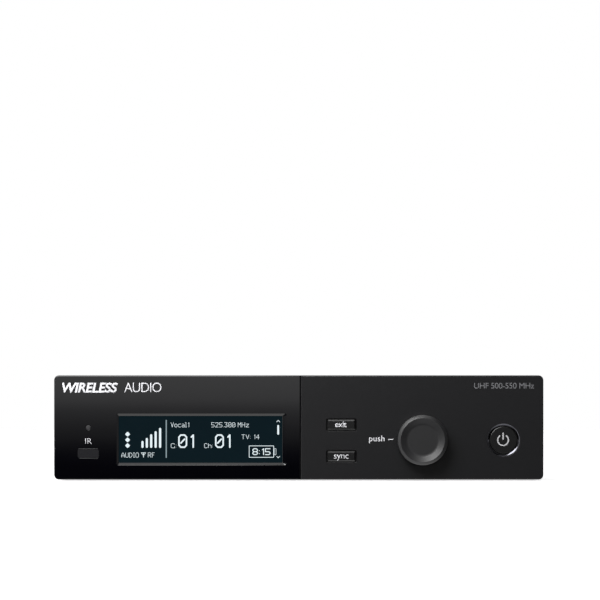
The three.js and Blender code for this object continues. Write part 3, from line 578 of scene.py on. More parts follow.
@dataclass(frozen=True)
class Finish:
    """One real material, as its maker leaves it: two close colours, a grain and a gloss."""

    name: str
    slot: str
    colour: str
    second_colour: str
    roughness: float
    roughness_spread: float
    grain: float  # mm, the size of the surface's grain
    relief: float  # mm, how deep the grain is
    metallic: float = 0.0
    ior: float = 1.5
    mottle: float = 6.0  # mm, the size of the patches of the second colour
    glow: float = 0.0  # light that the surface gives of its own
    stretch: tuple[float, float, float] = (1.0, 1.0, 1.0)  # grain drawn out along an axis

    def material(self) -> bpy.types.Material:
        """Returns the material, made once and then shared.

        Returns:
            The material.
        """
        known = bpy.data.materials.get(self.name)
        if known:
            return known
        material = bpy.data.materials.new(self.name)
        material.use_nodes = True
        tree = material.node_tree
        tree.nodes.clear()
        here = add(tree, "ShaderNodeTexCoord").outputs["Object"]
        place = add(tree, "ShaderNodeMapping", {"Scale": self.stretch}, {"Vector": here}).outputs["Vector"]
        grain = noise(tree, place, self.grain, 3.0, 0.6)
        dull = (self.roughness - self.roughness_spread, self.roughness + self.roughness_spread)
        depth = {"Strength": 1.0, "Distance": self.relief * MM}
        bump = add(tree, "ShaderNodeBump", depth, {"Height": grain})
        links = {
            self.coloured(): self.paint(tree, place),
            "Roughness": Ramp(0.3, 0.7, *dull).of(tree, grain),
            "Normal": bump.outputs["Normal"],
        }
        shader = add(tree, "ShaderNodeBsdfPrincipled", self.gloss(), links)
        add(tree, "ShaderNodeOutputMaterial", links={"Surface": shader.outputs["BSDF"]})
        return material

    def gloss(self) -> dict[str, Any]:
        """Returns the shader's values that are the same all over."""
        values = {"Metallic": self.metallic, "Emission Strength": self.glow}
        return values if self.metallic else {**values, "IOR": self.ior}

    def coloured(self) -> str:
        """Returns the name of the shader's socket that takes the colour."""
        return "Base Color"

    def paint(self, tree: Tree, place: Socket) -> Socket:
        """Returns the colour: patches of the second colour in the first."""
        return blended(tree, noise(tree, place, self.mottle, 4.0, 0.65), self.colour, self.second_colour)


@dataclass(frozen=True)
class TracedBoard(Finish):
    """Solder mask over copper: paler lines where the tracks run under the green."""

    def paint(self, tree: Tree, place: Socket) -> Socket:
        """Returns green with the tracks' paler green in it, in runs a few millimetres long.

        Args:
            tree: The node tree.
            place: The place on the piece, in metres.

        Returns:
            The colour.
        """
        settings = {
            "Color1": linear(self.colour),
            "Color2": linear(self.colour),
            "Mortar": linear(self.second_colour),
            "Scale": 1 / (self.mottle * MM),
            "Mortar Size": 0.03,
            "Brick Width": 1.7,
            "Row Height": 0.45,
        }
        return add(tree, "ShaderNodeTexBrick", settings, {"Vector": place}).outputs["Color"]


@dataclass(frozen=True)
class FilmLead(Finish):
    """A flat film lead: thin dark conductors side by side in pale film."""

    def paint(self, tree: Tree, place: Socket) -> Socket:
        """Returns the film's colour with a stripe for each conductor, 1 mm apart.

        Args:
            tree: The node tree.
            place: The place on the piece, in metres.

        Returns:
            The colour.
        """
        settings = {"wave_type": "BANDS", "bands_direction": "X", "Scale": 1 / (6.4 * MM)}
        stripes = add(tree, "ShaderNodeTexWave", settings, {"Vector": place})
        return blended(tree, stripes.outputs["Fac"], self.colour, self.second_colour)


@dataclass(frozen=True)
class Lit(Finish):
    """A part of the display, which is black by itself and gives its colour as light."""

    glow: float = 1.0

    def gloss(self) -> dict[str, Any]:
        """Returns the shader's values that are the same all over."""
        return {**super().gloss(), "Base Color": BLACK}

    def coloured(self) -> str:
        """Returns the name of the shader's socket that takes the colour."""
        return "Emission Color"


# ABS moulded in a spark-eroded tool: an even, dull black that breaks up every highlight.
FASCIA_ABS = Finish("spark_eroded_abs", "fascia_moulding", "#08080b", "#0b0b0e", 0.34, 0.04, 0.35, 0.004)
# The keys are moulded in the same ABS from a finer tool, so their chamfers catch a cleaner line.
KEY_ABS = Finish("fine_moulded_abs", "button_moulding", "#060607", "#080809", 0.3, 0.03, 0.3, 0.002)
# Cast acrylic, polished and backed with black: deep, with soft-edged reflections and faint wiping.
LENS_ACRYLIC = Finish(
    "polished_black_acrylic", "gloss_lens", "#040407", "#050509", 0.022, 0.006, 9.0, 0.0002, ior=1.49
)
# Smoked polycarbonate lets infrared through, and looks like a slightly duller patch of the lens.
SMOKED_PC = Finish(
    "smoked_polycarbonate", "smoked_window", "#0b0b10", "#0e0e14", 0.22, 0.03, 0.8, 0.001, ior=1.58
)
# The status light's pipe is frosted on its end, so it reads as a small grey dot when it is dark.
PIPE_PC = Finish(
    "frosted_polycarbonate", "smoked_window", "#1a191d", "#201f23", 0.5, 0.05, 0.3, 0.002, ior=1.58
)
# Soft-touch paint on the knob: velvety, a little greyer than the fascia, with a broad soft sheen.
KNOB_SOFT = Finish(
    "soft_touch_paint", "soft_touch_knob", "#0f0f11", "#131315", 0.44, 0.04, 0.25, 0.002, ior=1.56
)
# The power button's ring is polished and hard-chromed over black, so it shows one bright crescent.
RING_CHROME = Finish(
    "dark_chrome", "nickel_plate", "#4c4c51", "#56565b", 0.13, 0.03, 0.6, 0.0005, metallic=1.0
)
# Steel sheet with a fine-texture powder coat: close-grained orange peel, dull black.
POWDER_COAT = Finish(
    "black_powder_coat", "painted_steel", "#17171a", "#1c1c1f", 0.55, 0.08, 0.55, 0.012, mottle=25.0
)
# Nickel plate on turned brass: warm grey, with fine rings from the lathe.
NICKEL = Finish(
    "satin_nickel", "nickel_plate", "#bdb8ae", "#cbc6bc", 0.24, 0.06, 0.35, 0.0015,
    metallic=1.0, stretch=(1.0, 6.0, 1.0),
)
# Nickel on the die-cast shell of the audio connector is duller than on turned brass.
CAST_NICKEL = Finish(
    "tumbled_nickel", "nickel_plate", "#a9a7a2", "#b7b5b0", 0.34, 0.06, 0.6, 0.002, metallic=1.0
)
# Gold flash on contacts is thin and smooth, so it stays warm and bright.
GOLD_FLASH = Finish(
    "gold_flash", "nickel_plate", "#d8b46a", "#e0bd76", 0.22, 0.04, 0.4, 0.001, metallic=1.0
)
# Tinned steel shows faint spangles, and brushes lightly along its length.
TIN_PLATE = Finish(
    "bright_tin_plate", "tin_plate", "#b3b5b6", "#c3c5c6", 0.27, 0.08, 0.5, 0.001,
    metallic=1.0, mottle=3.0, stretch=(0.3, 1.0, 1.0),
)
# Bright zinc on screws and standoffs is a cool grey with a slight yellow cast.
ZINC_PLATE = Finish(
    "bright_zinc_plate", "zinc_plate", "#b7b7b0", "#c5c5bf", 0.3, 0.08, 0.3, 0.001, metallic=1.0
)
# Blackened steel screws keep a dark, oily metal shine.
BLACK_OXIDE = Finish(
    "black_oxide_steel", "black_oxide", "#29292b", "#323234", 0.36, 0.07, 0.3, 0.001, metallic=1.0
)
# Glass-filled nylon: black, with fine fibres that dull the gloss.
BLACK_NYLON = Finish("glass_filled_nylon", "black_nylon", "#131314", "#1a1a1b", 0.45, 0.07, 0.4, 0.003)
# Unfilled nylon is a waxy off-white.
PALE_NYLON = Finish("natural_nylon", "pale_nylon", "#cfcec6", "#dad9d1", 0.42, 0.05, 0.4, 0.002)
# Moulded rubber gives almost no highlight.
FOOT_RUBBER = Finish(
    "moulded_rubber", "foot_rubber", "#131313", "#1a1a1a", 0.82, 0.06, 0.4, 0.006, mottle=3.0
)
BOARD = TracedBoard(
    "green_solder_mask", "circuit_board", "#0f4a2c", "#1c6a40", 0.35, 0.05, 0.8, 0.002, mottle=5.0
)
FILM = FilmLead("polyester_film_lead", "film_lead", "#d9d8d0", "#8f8f8c", 0.35, 0.05, 0.5, 0.001)
# The display's cover is coated against reflections: it gives off the panel's faint blue-green.
PANE = Lit(
    "coated_display_pane", "display_pane", "#0b191f", "#0d1d23", 0.3, 0.04, 2.0, 0.0003,
    ior=1.12, glow=0.93,
)
# Lit segments are even and bright, with no gloss of their own.
SEGMENT = Lit(
    "lit_white_segment", "display_glass", "#e2f0f5", "#ecf8fc", 0.5, 0.02, 0.3, 0.0005, mottle=0.6
)
DIM_SEGMENT = Lit(
    "lit_grey_segment", "display_glass", "#7f9298", "#8a9ea4", 0.5, 0.02, 0.3, 0.0005, mottle=0.6
)
DISPLAY_GLASS = Finish("display_glass", "display_glass", "#0b191f", "#0f2027", 0.12, 0.03, 3.0, 0.0004)
# Screen-printed inks: dry, a little uneven at a close look.
WHITE_INK, LENS_INK, GREY_INK, SYMBOL_INK = (
    Finish(name, slot, colour, second, roughness, 0.05, 0.12, 0.001, mottle=0.3)
    for name, slot, colour, second, roughness in (
        ("white_screen_ink", "fascia_moulding", "#dedee2", "#e8e8ec", 0.6),
        ("white_lens_ink", "gloss_lens", "#e2e2e6", "#ececf0", 0.45),
        ("grey_screen_ink", "fascia_moulding", "#646467", "#6c6c6f", 0.6),
        ("pale_symbol_ink", "button_moulding", "#b2b2b4", "#bcbcbe", 0.6),
    )
)


def show(
    mesh: bpy.types.Mesh, finish: Finish, body: str = "receiver", replaces: Sequence[str] = ()
) -> bpy.types.Object:
    """Shows a mesh as one piece of the object.

    Args:
        mesh: The mesh, whose name becomes the piece's.
        finish: What it is made of.
        body: The CAD body that it moves with.
        replaces: CAD nodes that it stands for.

    Returns:
        The piece.
    """
    piece = bpy.data.objects.new(mesh.name, mesh)
    bpy.context.scene.collection.objects.link(piece)
    mesh.materials.append(finish.material())
    piece.modifiers.new("even_flats", "WEIGHTED_NORMAL").keep_sharp = True
    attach(piece, body)
    if replaces:
        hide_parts(*replaces)
    log.info("%s: %d faces, %s", piece.name, len(mesh.polygons), finish.name)
    return piece


# ------------------------------------------------------------------ lettering


@dataclass(frozen=True)
class Line:
    """A line of print: what it says, where it starts and ends and how tall it is."""

    text: str
    left: float
    right: float
    base: float
    cap: float
    weight: float = 0.0  # how much bolder than the plain face, as a share of the letters' size
    slope: float = 0.0

    def outline(self) -> bpy.types.Mesh:
        """Returns the line as a mesh in the x-z plane, in metres, facing -Y at y = 0.

        Returns:
            The mesh.
        """
        capital = self.drawn("H", 1.0)
        size = self.cap * MM / max(v.co.y for v in capital.vertices)
        wanted = (self.right - self.left) * MM / size
        plain, wide = (self.span(self.drawn(self.text, spacing)) for spacing in (1.0, 1.5))
        grown = (wide[1] - wide[0]) - (plain[1] - plain[0])
        spacing = 1.0 + 0.5 * (wanted - plain[1] + plain[0]) / grown if grown > 1e-4 else 1.0
        mesh = self.drawn(self.text, max(spacing, 0.9))
        low, high = self.span(mesh)
        squeeze = min(wanted / (high - low), 1.0)
        for vertex in mesh.vertices:
            x, y, _ = vertex.co
            across = self.left * MM + (x - low) * squeeze * size
            vertex.co = (across, 0.0, y * size + self.base * MM)
        return mesh

    @staticmethod
    def span(mesh: bpy.types.Mesh) -> Point:
        """Returns the lowest and the highest x of a mesh."""
        places = [v.co.x for v in mesh.vertices]
        return min(places), max(places)

    def drawn(self, text: str, spacing: float) -> bpy.types.Mesh:
        """Returns some text as flat faces at the font's own size.

        Args:
            text: What it says.
            spacing: From one letter to the next, where 1 is the font's own.

        Returns:
            The mesh.
        """
        curve = bpy.data.curves.new("lettering", "FONT")
        curve.body = text
        curve.resolution_u = 6
        curve.offset = self.weight
        curve.shear = self.slope
        curve.space_character = spacing
        holder = bpy.data.objects.new("lettering", curve)
        bpy.context.scene.collection.objects.link(holder)
        depsgraph = bpy.context.evaluated_depsgraph_get()
        mesh = bpy.data.meshes.new_from_object(holder.evaluated_get(depsgraph))
        bpy.data.objects.remove(holder)
        bpy.data.curves.remove(curve)
        return mesh


def printed(
    name: str, lines: Sequence[Line], face: float, finish: Finish, body: str = "receiver",
    shift: Point = (0.0, 0.0),
) -> None:
    """Prints lines of lettering on a face that looks towards -Y, as a film just proud of it.

    Args:
        name: The piece's name.
        lines: The lines.
        face: The y of the printed face.
        finish: The ink.
        body: The CAD body that carries the face.
        shift: Moves all the lines in x and z.
    """
    bm = bmesh.new()
    for line in lines:
        bm.from_mesh(line.outline())
    bmesh.ops.remove_doubles(bm, verts=bm.verts, dist=1e-7)
    made = bmesh.ops.extrude_face_region(bm, geom=bm.faces)
    front = [v for v in made["geom"] if isinstance(v, bmesh.types.BMVert)]
    bmesh.ops.translate(bm, vec=(0.0, -INK * MM, 0.0), verts=front)
    bmesh.ops.translate(bm, vec=(shift[0] * MM, face * MM, shift[1] * MM), verts=bm.verts)
    bmesh.ops.recalc_face_normals(bm, faces=bm.faces)
    mesh = bpy.data.meshes.new(name)
    bm.to_mesh(mesh)
    bm.free()
    show(mesh, finish, body)


# ------------------------------------------------------------------ the front


@dataclass(frozen=True)
class Fascia:
    """The front moulding: the matte control side, the wall behind the lens and the skirt."""

    corner: float = 2.0
    split_corner: float = 0.2  # where the control side meets the lens
    edge: float = 0.45
    lens_recess: float = 2.1  # how far the lens's seat lies behind the face
    wall: float = 2.5
    side_wall: float = 2.6
    skirt: float = 12.0
    skirt_edge: float = 0.3
    groove: float = 0.3
    key_gap: float = 0.43
    key_size: Point = (11.3, 4.1)
    key_corner: float = 0.55
    knob_hole: float = 4.0
    power_ring: float = 6.68
    rims: tuple[float, float, float] = (0.12, 0.1, 0.08)  # the keys', the knob's and the power button's
    pane_seat: float = 0.1
    pane_corner: float = 0.3
    window_corner: float = 1.0

    def control_openings(self) -> list[tuple[Outline, float]]:
        """Returns the outline and rim radius of each opening on the control side.

        Returns:
            The pairs, keys first.
        """
        width, height = (size + 2 * self.key_gap for size in self.key_size)
        key_rim, knob_rim, power_rim = self.rims
        found: list[tuple[Outline, float]] = []
        for key in ("exit_button", "sync_button"):
            shape = RoundedRect.about(Box.of(key).front, width, height, self.key_corner)
            found.append((shape, key_rim))
        found.append((Disc(Box.of("encoder_knob").front, self.knob_hole), knob_rim))
        found.append((Disc(Box.of("power_button").front, self.power_ring), power_rim))
        return found

    def build(self) -> None:
        """Builds the moulding."""
        seat, wall, back = (FACE + depth for depth in (self.lens_recess, self.wall, self.skirt))
        holes = self.control_openings()
        across = (LENS.high.x + self.groove, FASCIA.high.x)
        radii = (self.split_corner, self.corner, self.corner, self.split_corner)
        front = Shell().slab(
            RoundedRect(across, (FASCIA.low.z, FASCIA.high.z), radii),
            [*rounded(FACE, self.edge), (0, seat)],
            [Opening(shape, [*flared(FACE, rim), (0, seat)]) for shape, rim in holes],
        )
        pipe = Box.of("status_light_pipe")
        seated = [shape for shape, _ in holes]
        seated.append(Box.of("display_window").face(self.pane_corner, self.pane_seat))
        seated.append(Box.of("ir_window").face(self.window_corner, self.pane_seat))
        seated.append(Disc(pipe.front, pipe.size.x / 2 + self.pane_seat, 32))
        start, inner = seat + SEAM / 5, self.side_wall
        front.slab(
            FASCIA.face(self.corner),
            [(0, start), *ended(back, self.skirt_edge), (inner, back), (inner, wall)],
            [Opening(shape, [(0, start), (0, wall)]) for shape in seated],
        )
        show(front.mesh("fascia_moulding"), FASCIA_ABS, replaces=["front_bezel"])


@dataclass(frozen=True)
class DisplayPanel:
    """The gloss lens with its bevelled window, the display, the infrared window and the light."""

    corners: tuple[float, float, float, float] = (2.0, 0.2, 0.2, 2.0)
    edge: float = 0.35
    bevel: tuple[float, float, float, float] = (0.85, 1.6, 0.9, 1.0)  # left, right, bottom, top
    bevel_depth: float = 0.6
    bevel_soft: float = 0.06  # share of the bevel over which each of its edges is softened
    pane_margin: float = 1.0  # how far the pane reaches behind the lens on each side
    small_gap: float = 0.2  # round the infrared window and the light, both sides together
    small_edge: float = 0.05
    window_lip: float = 0.35  # how much less of the infrared window shows than its seat holds
    window_corners: Point = (1.0, 0.9)  # of the lens's opening and of the infrared window in it
    pane_corner: float = 0.2
    pane_edge: float = 0.1
    back_edge: float = 0.1
    words: tuple[Line, ...] = (
        Line("WIRELESS", -95.3, -72.9, 35.2, 3.8, 0.028, 0.2),
        Line("AUDIO", -70.2, -55.3, 35.2, 3.8, -0.01),
        Line("IR", -85.95, -83.4, 14.35, 2.25, -0.014),
    )

    def build(self) -> None:
        """Builds the lens, the display and their neighbours."""
        pane, window, pipe = (Box.of(node) for node in ("display_window", "ir_window", "status_light_pipe"))
        self.build_lens(pane, window, pipe)
        self.build_windows(pane, window, pipe)
        DisplayMarks().build(pane)
        printed("lens_lettering", self.words, FACE, LENS_INK, shift=(0.0, FASCIA.low.z))

    def build_lens(self, pane: Box, window: Box, pipe: Box) -> None:
        """Builds the lens, whose window is bevelled more widely on some sides than on others.

        Args:
            pane: The display pane's box.
            window: The infrared window's box.
            pipe: The light pipe's box.
        """
        back, gap = LENS.high.y, self.small_gap
        width, height = window.size.x + gap, window.size.z + gap - self.window_lip
        rim = [*flared(FACE, self.small_edge), (0, back)]
        openings = [
            Opening(RoundedRect.about(window.front, width, height, self.window_corners[0]), rim),
            Opening(Disc(pipe.front, (pipe.size.x + gap) / 2, 40), rim),
            self.bevelled_window(pane, back),
        ]
        shape = RoundedRect((LENS.low.x, LENS.high.x), (LENS.low.z, LENS.high.z), self.corners)
        profile = [*rounded(FACE, self.edge), (0, back - self.back_edge), (self.back_edge, back)]
        body = Shell().slab(shape, profile, openings)
        show(body.mesh("display_lens_panel"), LENS_ACRYLIC, replaces=["display_lens"])

    def bevelled_window(self, pane: Box, back: float) -> Opening:
        """Returns the window's opening: a softened rim, the four bevels and the straight wall.

        Args:
            pane: The display pane's box.
            back: Where the lens's back face is.

        Returns:
            The opening.
        """
        clear = pane.face(0.0, -self.pane_margin)
        soft, deep = self.bevel_soft, self.bevel_depth
        stages = [(1 + soft, 0.0), (1 - soft / 4, soft / 5), (1 - soft, soft)]
        stages += [(soft, 1 - soft), (0.0, 1 + soft)]
        slope = [(-share, FACE + depth * deep) for share, depth in stages]
        return Opening(SlopedWindow(clear.u, clear.v, self.bevel), [*slope, (0, back)])

    def build_windows(self, pane: Box, window: Box, pipe: Box) -> None:
        """Builds the display's pane, the infrared window and the status light's pipe.

        Args:
            pane: The display pane's box.
            window: The infrared window's box.
            pipe: The light pipe's box.
        """
        profile = [*rounded(pane.low.y, self.pane_edge), (0, pane.high.y)]
        cover = Shell().slab(pane.face(self.pane_corner), profile)
        show(cover.mesh("display_pane"), PANE, replaces=["display_window"])
        height = window.size.z - self.window_lip
        shape = RoundedRect.about(window.front, window.size.x, height, self.window_corners[1])
        profile = [*rounded(window.low.y, self.small_edge), (0, window.high.y)]
        show(Shell().slab(shape, profile).mesh("infrared_window"), SMOKED_PC, replaces=["ir_window"])
        radius, rise = pipe.size.x / 2, self.small_edge
        turns = [0.15 * step for step in range(1, 11)]
        dome = [(radius * math.sin(t), pipe.low.y + rise * (1 - math.cos(t))) for t in turns]
        light = Shell().turned(pipe.front, [*dome, (radius, pipe.high.y)], 32)
        show(light.mesh("status_light"), PIPE_PC, replaces=["status_light_pipe"])


# The display's own letters. Each pair of figures is a column and a row of the letter's grid, with
# capitals from row 2 to row 8, and a bar ends each stroke.
GLYPHS = {
    "A": "02 05 28 45 42|04 44",
    "C": "47 38 18 07 03 12 32 43",
    "D": "02 08 28 46 44 22 02",
    "F": "02 08 38|05 25",
    "G": "47 38 18 07 03 12 42 44",
    "H": "02 08|42 48|05 45",
    "I": "08 28|18 12|02 22",
    "M": "02 08 25 48 42",
    "O": "12 03 07 18 38 47 43 32 12",
    "R": "02 08 38 47 46 35 05|25 42",
    "T": "08 48|28 22",
    "U": "08 03 12 32 43 48",
    "V": "08 22 48",
    "a": "16 36 45 42 12 03 14 44",
    "c": "46 16 05 03 12 42",
    "h": "02 08|05 16 36 45 42",
    "l": "08 18 12|02 22",
    "o": "12 03 05 16 36 45 43 32 12",
    "z": "06 46 02 42",
    "0": "12 03 07 18 38 47 43 32 12|14 36",
    "1": "17 28 22",
    "2": "07 18 38 47 46 02 42",
    "3": "08 48 25 35 44 43 32 12 03",
    "4": "32 38 04 44",
    "5": "48 08 05 35 44 43 32 02",
    "8": "15 06 07 18 38 47 46 35 15 04 03 12 32 43 44 35",
    ":": "03 03|06 06",
    ".": "02 02",
    " ": "",
}


@dataclass(frozen=True)
class Reading:
    """A line of the display's own lettering."""

    text: str
    left: float
    right: float
    base: float
    cap: float
    stroke: float = 0.155
    between: float = 1.6  # from one letter to the next, in columns of the grid

    def strokes(self) -> list[tuple[Point, Point]]:
        """Returns the two ends of every straight stroke.

        Returns:
            The pairs of ends, letter by letter.
        """
        widths = [
            max((int(pair[0]) for pair in GLYPHS[letter].replace("|", " ").split()), default=1)
            for letter in self.text
        ]
        total = sum(widths) + self.between * (len(widths) - 1)
        wide = (self.right - self.left - self.stroke) / total
        tall = (self.cap - self.stroke) / 6
        left, base = self.left + self.stroke / 2, self.base + self.stroke / 2
        found = []
        start = 0.0
        for letter, width in zip(self.text, widths):
            for line in GLYPHS[letter].split("|"):
                points = [
                    (left + (start + int(column)) * wide, base + (int(row) - 2) * tall)
                    for column, row in line.split()
                ]
                found += list(zip(points, points[1:]))
            start += width + self.between
        return found


@dataclass(frozen=True)
class DisplayMarks:
    """The display's own drawing. Places are x from the middle and z from near the feet."""

    film: float = 0.02
    pane_base: float = 5.95  # the pane's lower edge
    dots: tuple[Point, ...] = ((-69.0, 18.5), (-69.0, 16.2), (-69.0, 13.9))
    dot_sizes: tuple[tuple[float, int], ...] = ((1.0, 4), (0.78, 16))  # a lozenge over a smaller disc
    bars: tuple[Point, ...] = (  # each bar's middle and its top
        (-63.0, 15.8), (-61.25, 17.0), (-59.5, 18.5), (-57.7, 19.7), (-55.9, 21.05),
    )
    bar_base: float = 12.95
    bar_width: float = 0.88
    readings: tuple[Reading, ...] = (
        Reading("AUDIO", -71.5, -64.5, 9.1, 1.95),
        Reading("RF", -60.8, -58.1, 9.1, 2.0),
        Reading("Vocal1", -51.6, -44.2, 21.3, 1.95),
        Reading("G:", -51.55, -49.4, 12.9, 1.9),
        Reading("01", -48.6, -42.25, 12.95, 5.5, 0.6),
        Reading("Ch:", -38.1, -34.75, 12.9, 1.9),
        Reading("01", -33.75, -27.5, 12.95, 5.5, 0.6),
        Reading("525.300 MHz", -35.25, -20.1, 21.3, 1.95),
        Reading("TV: 14", -23.1, -15.85, 16.5, 1.85),
        Reading("8:15", -18.7, -11.4, 10.1, 2.7, 0.34),
    )
    battery: tuple[tuple[Point, Point, float], ...] = (  # the case and its nub: x, z and line
        ((-20.1, -10.0), (9.05, 13.9), 0.23),
        ((-10.0, -9.1), (10.1, 12.75), 0.15),
    )
    aerial: tuple[tuple[Point, Point, float], ...] = (  # two arms from a mast's foot
        ((-62.6, 9.9), (-63.5, 11.0), 0.17),
        ((-62.6, 9.9), (-61.7, 11.0), 0.17),
        ((-62.6, 9.2), (-62.6, 11.0), 0.22),
        ((-63.5, 11.0), (-61.7, 11.0), 0.22),
    )
    scroll: tuple[tuple[Point, Point, float], ...] = (  # a bar between two arrows
        ((-8.3, 18.65), (-8.3, 21.85), 0.74),
        ((-8.3, 24.05), (-8.92, 23.45), 0.22),
        ((-8.3, 24.05), (-7.68, 23.45), 0.22),
        ((-8.3, 8.95), (-8.92, 9.55), 0.22),
        ((-8.3, 8.95), (-7.68, 9.55), 0.22),
    )
    divider: tuple[Point, Point, float] = ((-53.42, 9.15), (-53.42, 24.05), 0.46)

    def strokes(self) -> list[tuple[Point, Point, float]]:
        """Returns the two ends and the width of every stroke that is lit white.

        Returns:
            Both ends and the width of each.
        """
        half = self.bar_width / 2
        found = [((x, self.bar_base + half), (x, top - half), self.bar_width) for x, top in self.bars]
        for reading in self.readings:
            found += [(*ends, reading.stroke) for ends in reading.strokes()]
        return [*found, *self.aerial, *self.scroll]

    def build(self, pane: Box) -> None:
        """Draws the marks as thin raised shapes on the pane.

        Args:
            pane: The display pane's box.
        """
        face, base = pane.low.y, pane.low.z - self.pane_base
        depths = [(0, face - self.film), (0, face)]

        def lifted(mark: tuple[Point, Point, float]) -> Loop:
            """Returns a stroke's outline at its real height."""
            (x0, z0), (x1, z1), width = mark
            return stroke((x0, base + z0), (x1, base + z1), width)

        shell = Shell()
        for x, z in self.dots:
            for radius, steps in self.dot_sizes:
                shell.slab(Disc((x, base + z), radius, steps), depths)
        for mark in self.strokes():
            shell.slab(lifted(mark), depths)
        for (left, right), (low, high), line in self.battery:
            outer = RoundedRect((left, right), (base + low, base + high), (0.25,) * 4)
            inner = RoundedRect(
                (left + line, right - line), (base + low + line, base + high - line), (0.05,) * 4
            )
            shell.slab(outer, depths, [Opening(inner, depths)])
        show(shell.mesh("display_marks"), SEGMENT)
        show(Shell().slab(lifted(self.divider), depths).mesh("display_divider"), DIM_SEGMENT)


@dataclass(frozen=True)
class Key:
    """One of the two small keys: a chamfered cap with its word printed on it."""

    name: str
    word: Line  # across from the key's middle and up from its middle
    width: float = 11.3
    height: float = 4.1
    corner: float = 0.45
    chamfer: float = 0.5
    edge: float = 0.1
    rim: float = 1.15
    rim_place: float = 2.6  # how far behind the fascia's face the rim starts
    rim_thick: float = 0.9
    stem: float = 1.6

    def build(self) -> None:
        """Builds the cap and its word."""
        box = Box.of(f"{self.name}_button")
        centre, front = box.front, box.low.y
        chamfer, edge = self.chamfer, self.edge
        rim = FACE + self.rim_place
        profile = [
            (chamfer + edge, front),
            (chamfer - 0.3 * edge, front + 0.3 * edge),
            (0.3 * edge, front + chamfer - 0.3 * edge),
            (0, front + chamfer + edge),
            (0, rim),
            (-self.rim, rim),
            (-self.rim, rim + self.rim_thick),
        ]
        body = Shell().slab(RoundedRect.about(centre, self.width, self.height, self.corner), profile)
        body.slab(Disc(centre, self.stem, 32), [(0, rim + self.rim_thick), (0, box.high.y)])
        carrier = f"{self.name}_key"
        show(body.mesh(f"{self.name}_key_cap"), KEY_ABS, carrier, [f"{self.name}_button"])
        printed(f"{self.name}_word", [self.word], front, WHITE_INK, carrier, centre)


@dataclass(frozen=True)
class PowerButton:
    """The round power button in its polished ring, with the standard symbol on its cap."""

    radius: float = 5.45
    rim_place: float = 2.6
    rim_thick: float = 0.9
    rim: float = 1.15
    stem: float = 1.6
    ring_outer: float = 6.66
    ring_bore: float = 5.82
    ring_depth: float = 0.3
    ring_bow: float = 0.1  # how far the ring's cone bulges
    ring_back: float = 2.05
    symbol_radius: float = 2.16
    symbol_stroke: float = 0.5
    symbol_gap: float = 34.0  # degrees, half of the opening at the symbol's top
    symbol_shift: float = -0.15
    symbol_bar: Point = (0.1, 3.0)

    def build(self) -> None:
        """Builds the cap, the ring and the symbol."""
        box = Box.of("power_button")
        centre, front, radius = box.front, box.low.y, self.radius
        rim = FACE + self.rim_place
        back = rim + self.rim_thick
        profile = [(radius - 0.2, front), (radius - 0.06, front + 0.05), (radius, front + 0.2)]
        profile += [(radius, rim), (radius + self.rim, rim), (radius + self.rim, back)]
        body = Shell().turned(centre, profile, 96)
        body.slab(Disc(centre, self.stem, 32), [(0, back), (0, box.high.y)])
        show(body.mesh("power_button_cap"), KEY_ABS, "power_key", ["power_button"])
        self.build_ring(centre)
        self.build_symbol(centre, front)

    def build_ring(self, centre: Point) -> None:
        """Builds the conical ring that lines the button's opening.

        Args:
            centre: The button's axis.
        """
        start, back = FACE + 0.02, FACE + self.ring_back
        width = self.ring_outer - 0.16 - self.ring_bore
        cone = []
        for step in range(6):
            share = step / 5
            bow = self.ring_bow * math.sin(share * math.pi)
            cone.append((self.ring_bore + width * (1 - share) + bow, start + share * self.ring_depth))
        inside = bore(centre, [*cone, (self.ring_bore, back)], 96)
        outside = [(self.ring_outer - 0.05, start), (self.ring_outer - 0.02, back)]
        show(Shell().turned(centre, outside, 96, [inside]).mesh("power_button_ring"), RING_CHROME)

    def build_symbol(self, centre: Point, face: float) -> None:
        """Prints the standby symbol: an open ring with a bar standing in its gap.

        Args:
            centre: The button's axis.
            face: Where the cap's face is.
        """
        film = [(0, face - 0.015), (0, face + 0.05)]
        half = self.symbol_stroke / 2
        gap = math.radians(self.symbol_gap)
        x, z = centre[0] + self.symbol_shift, centre[1]
        sweep = 2 * math.pi - 2 * gap
        angles = [math.pi / 2 + gap + sweep * step / 48 for step in range(49)]
        around = []
        for offset, turns in ((half, angles), (-half, angles[::-1])):
            radius = self.symbol_radius + offset
            around += [(x + radius * math.cos(a), z + radius * math.sin(a)) for a in turns]
        low, high = self.symbol_bar
        bar = RoundedRect((x - half, x + half), (z + low, z + high), (0.05,) * 4)
        shell = Shell().slab(Loop(tuple(around)), film).slab(bar, film)
        show(shell.mesh("power_symbol"), SYMBOL_INK, "power_key")


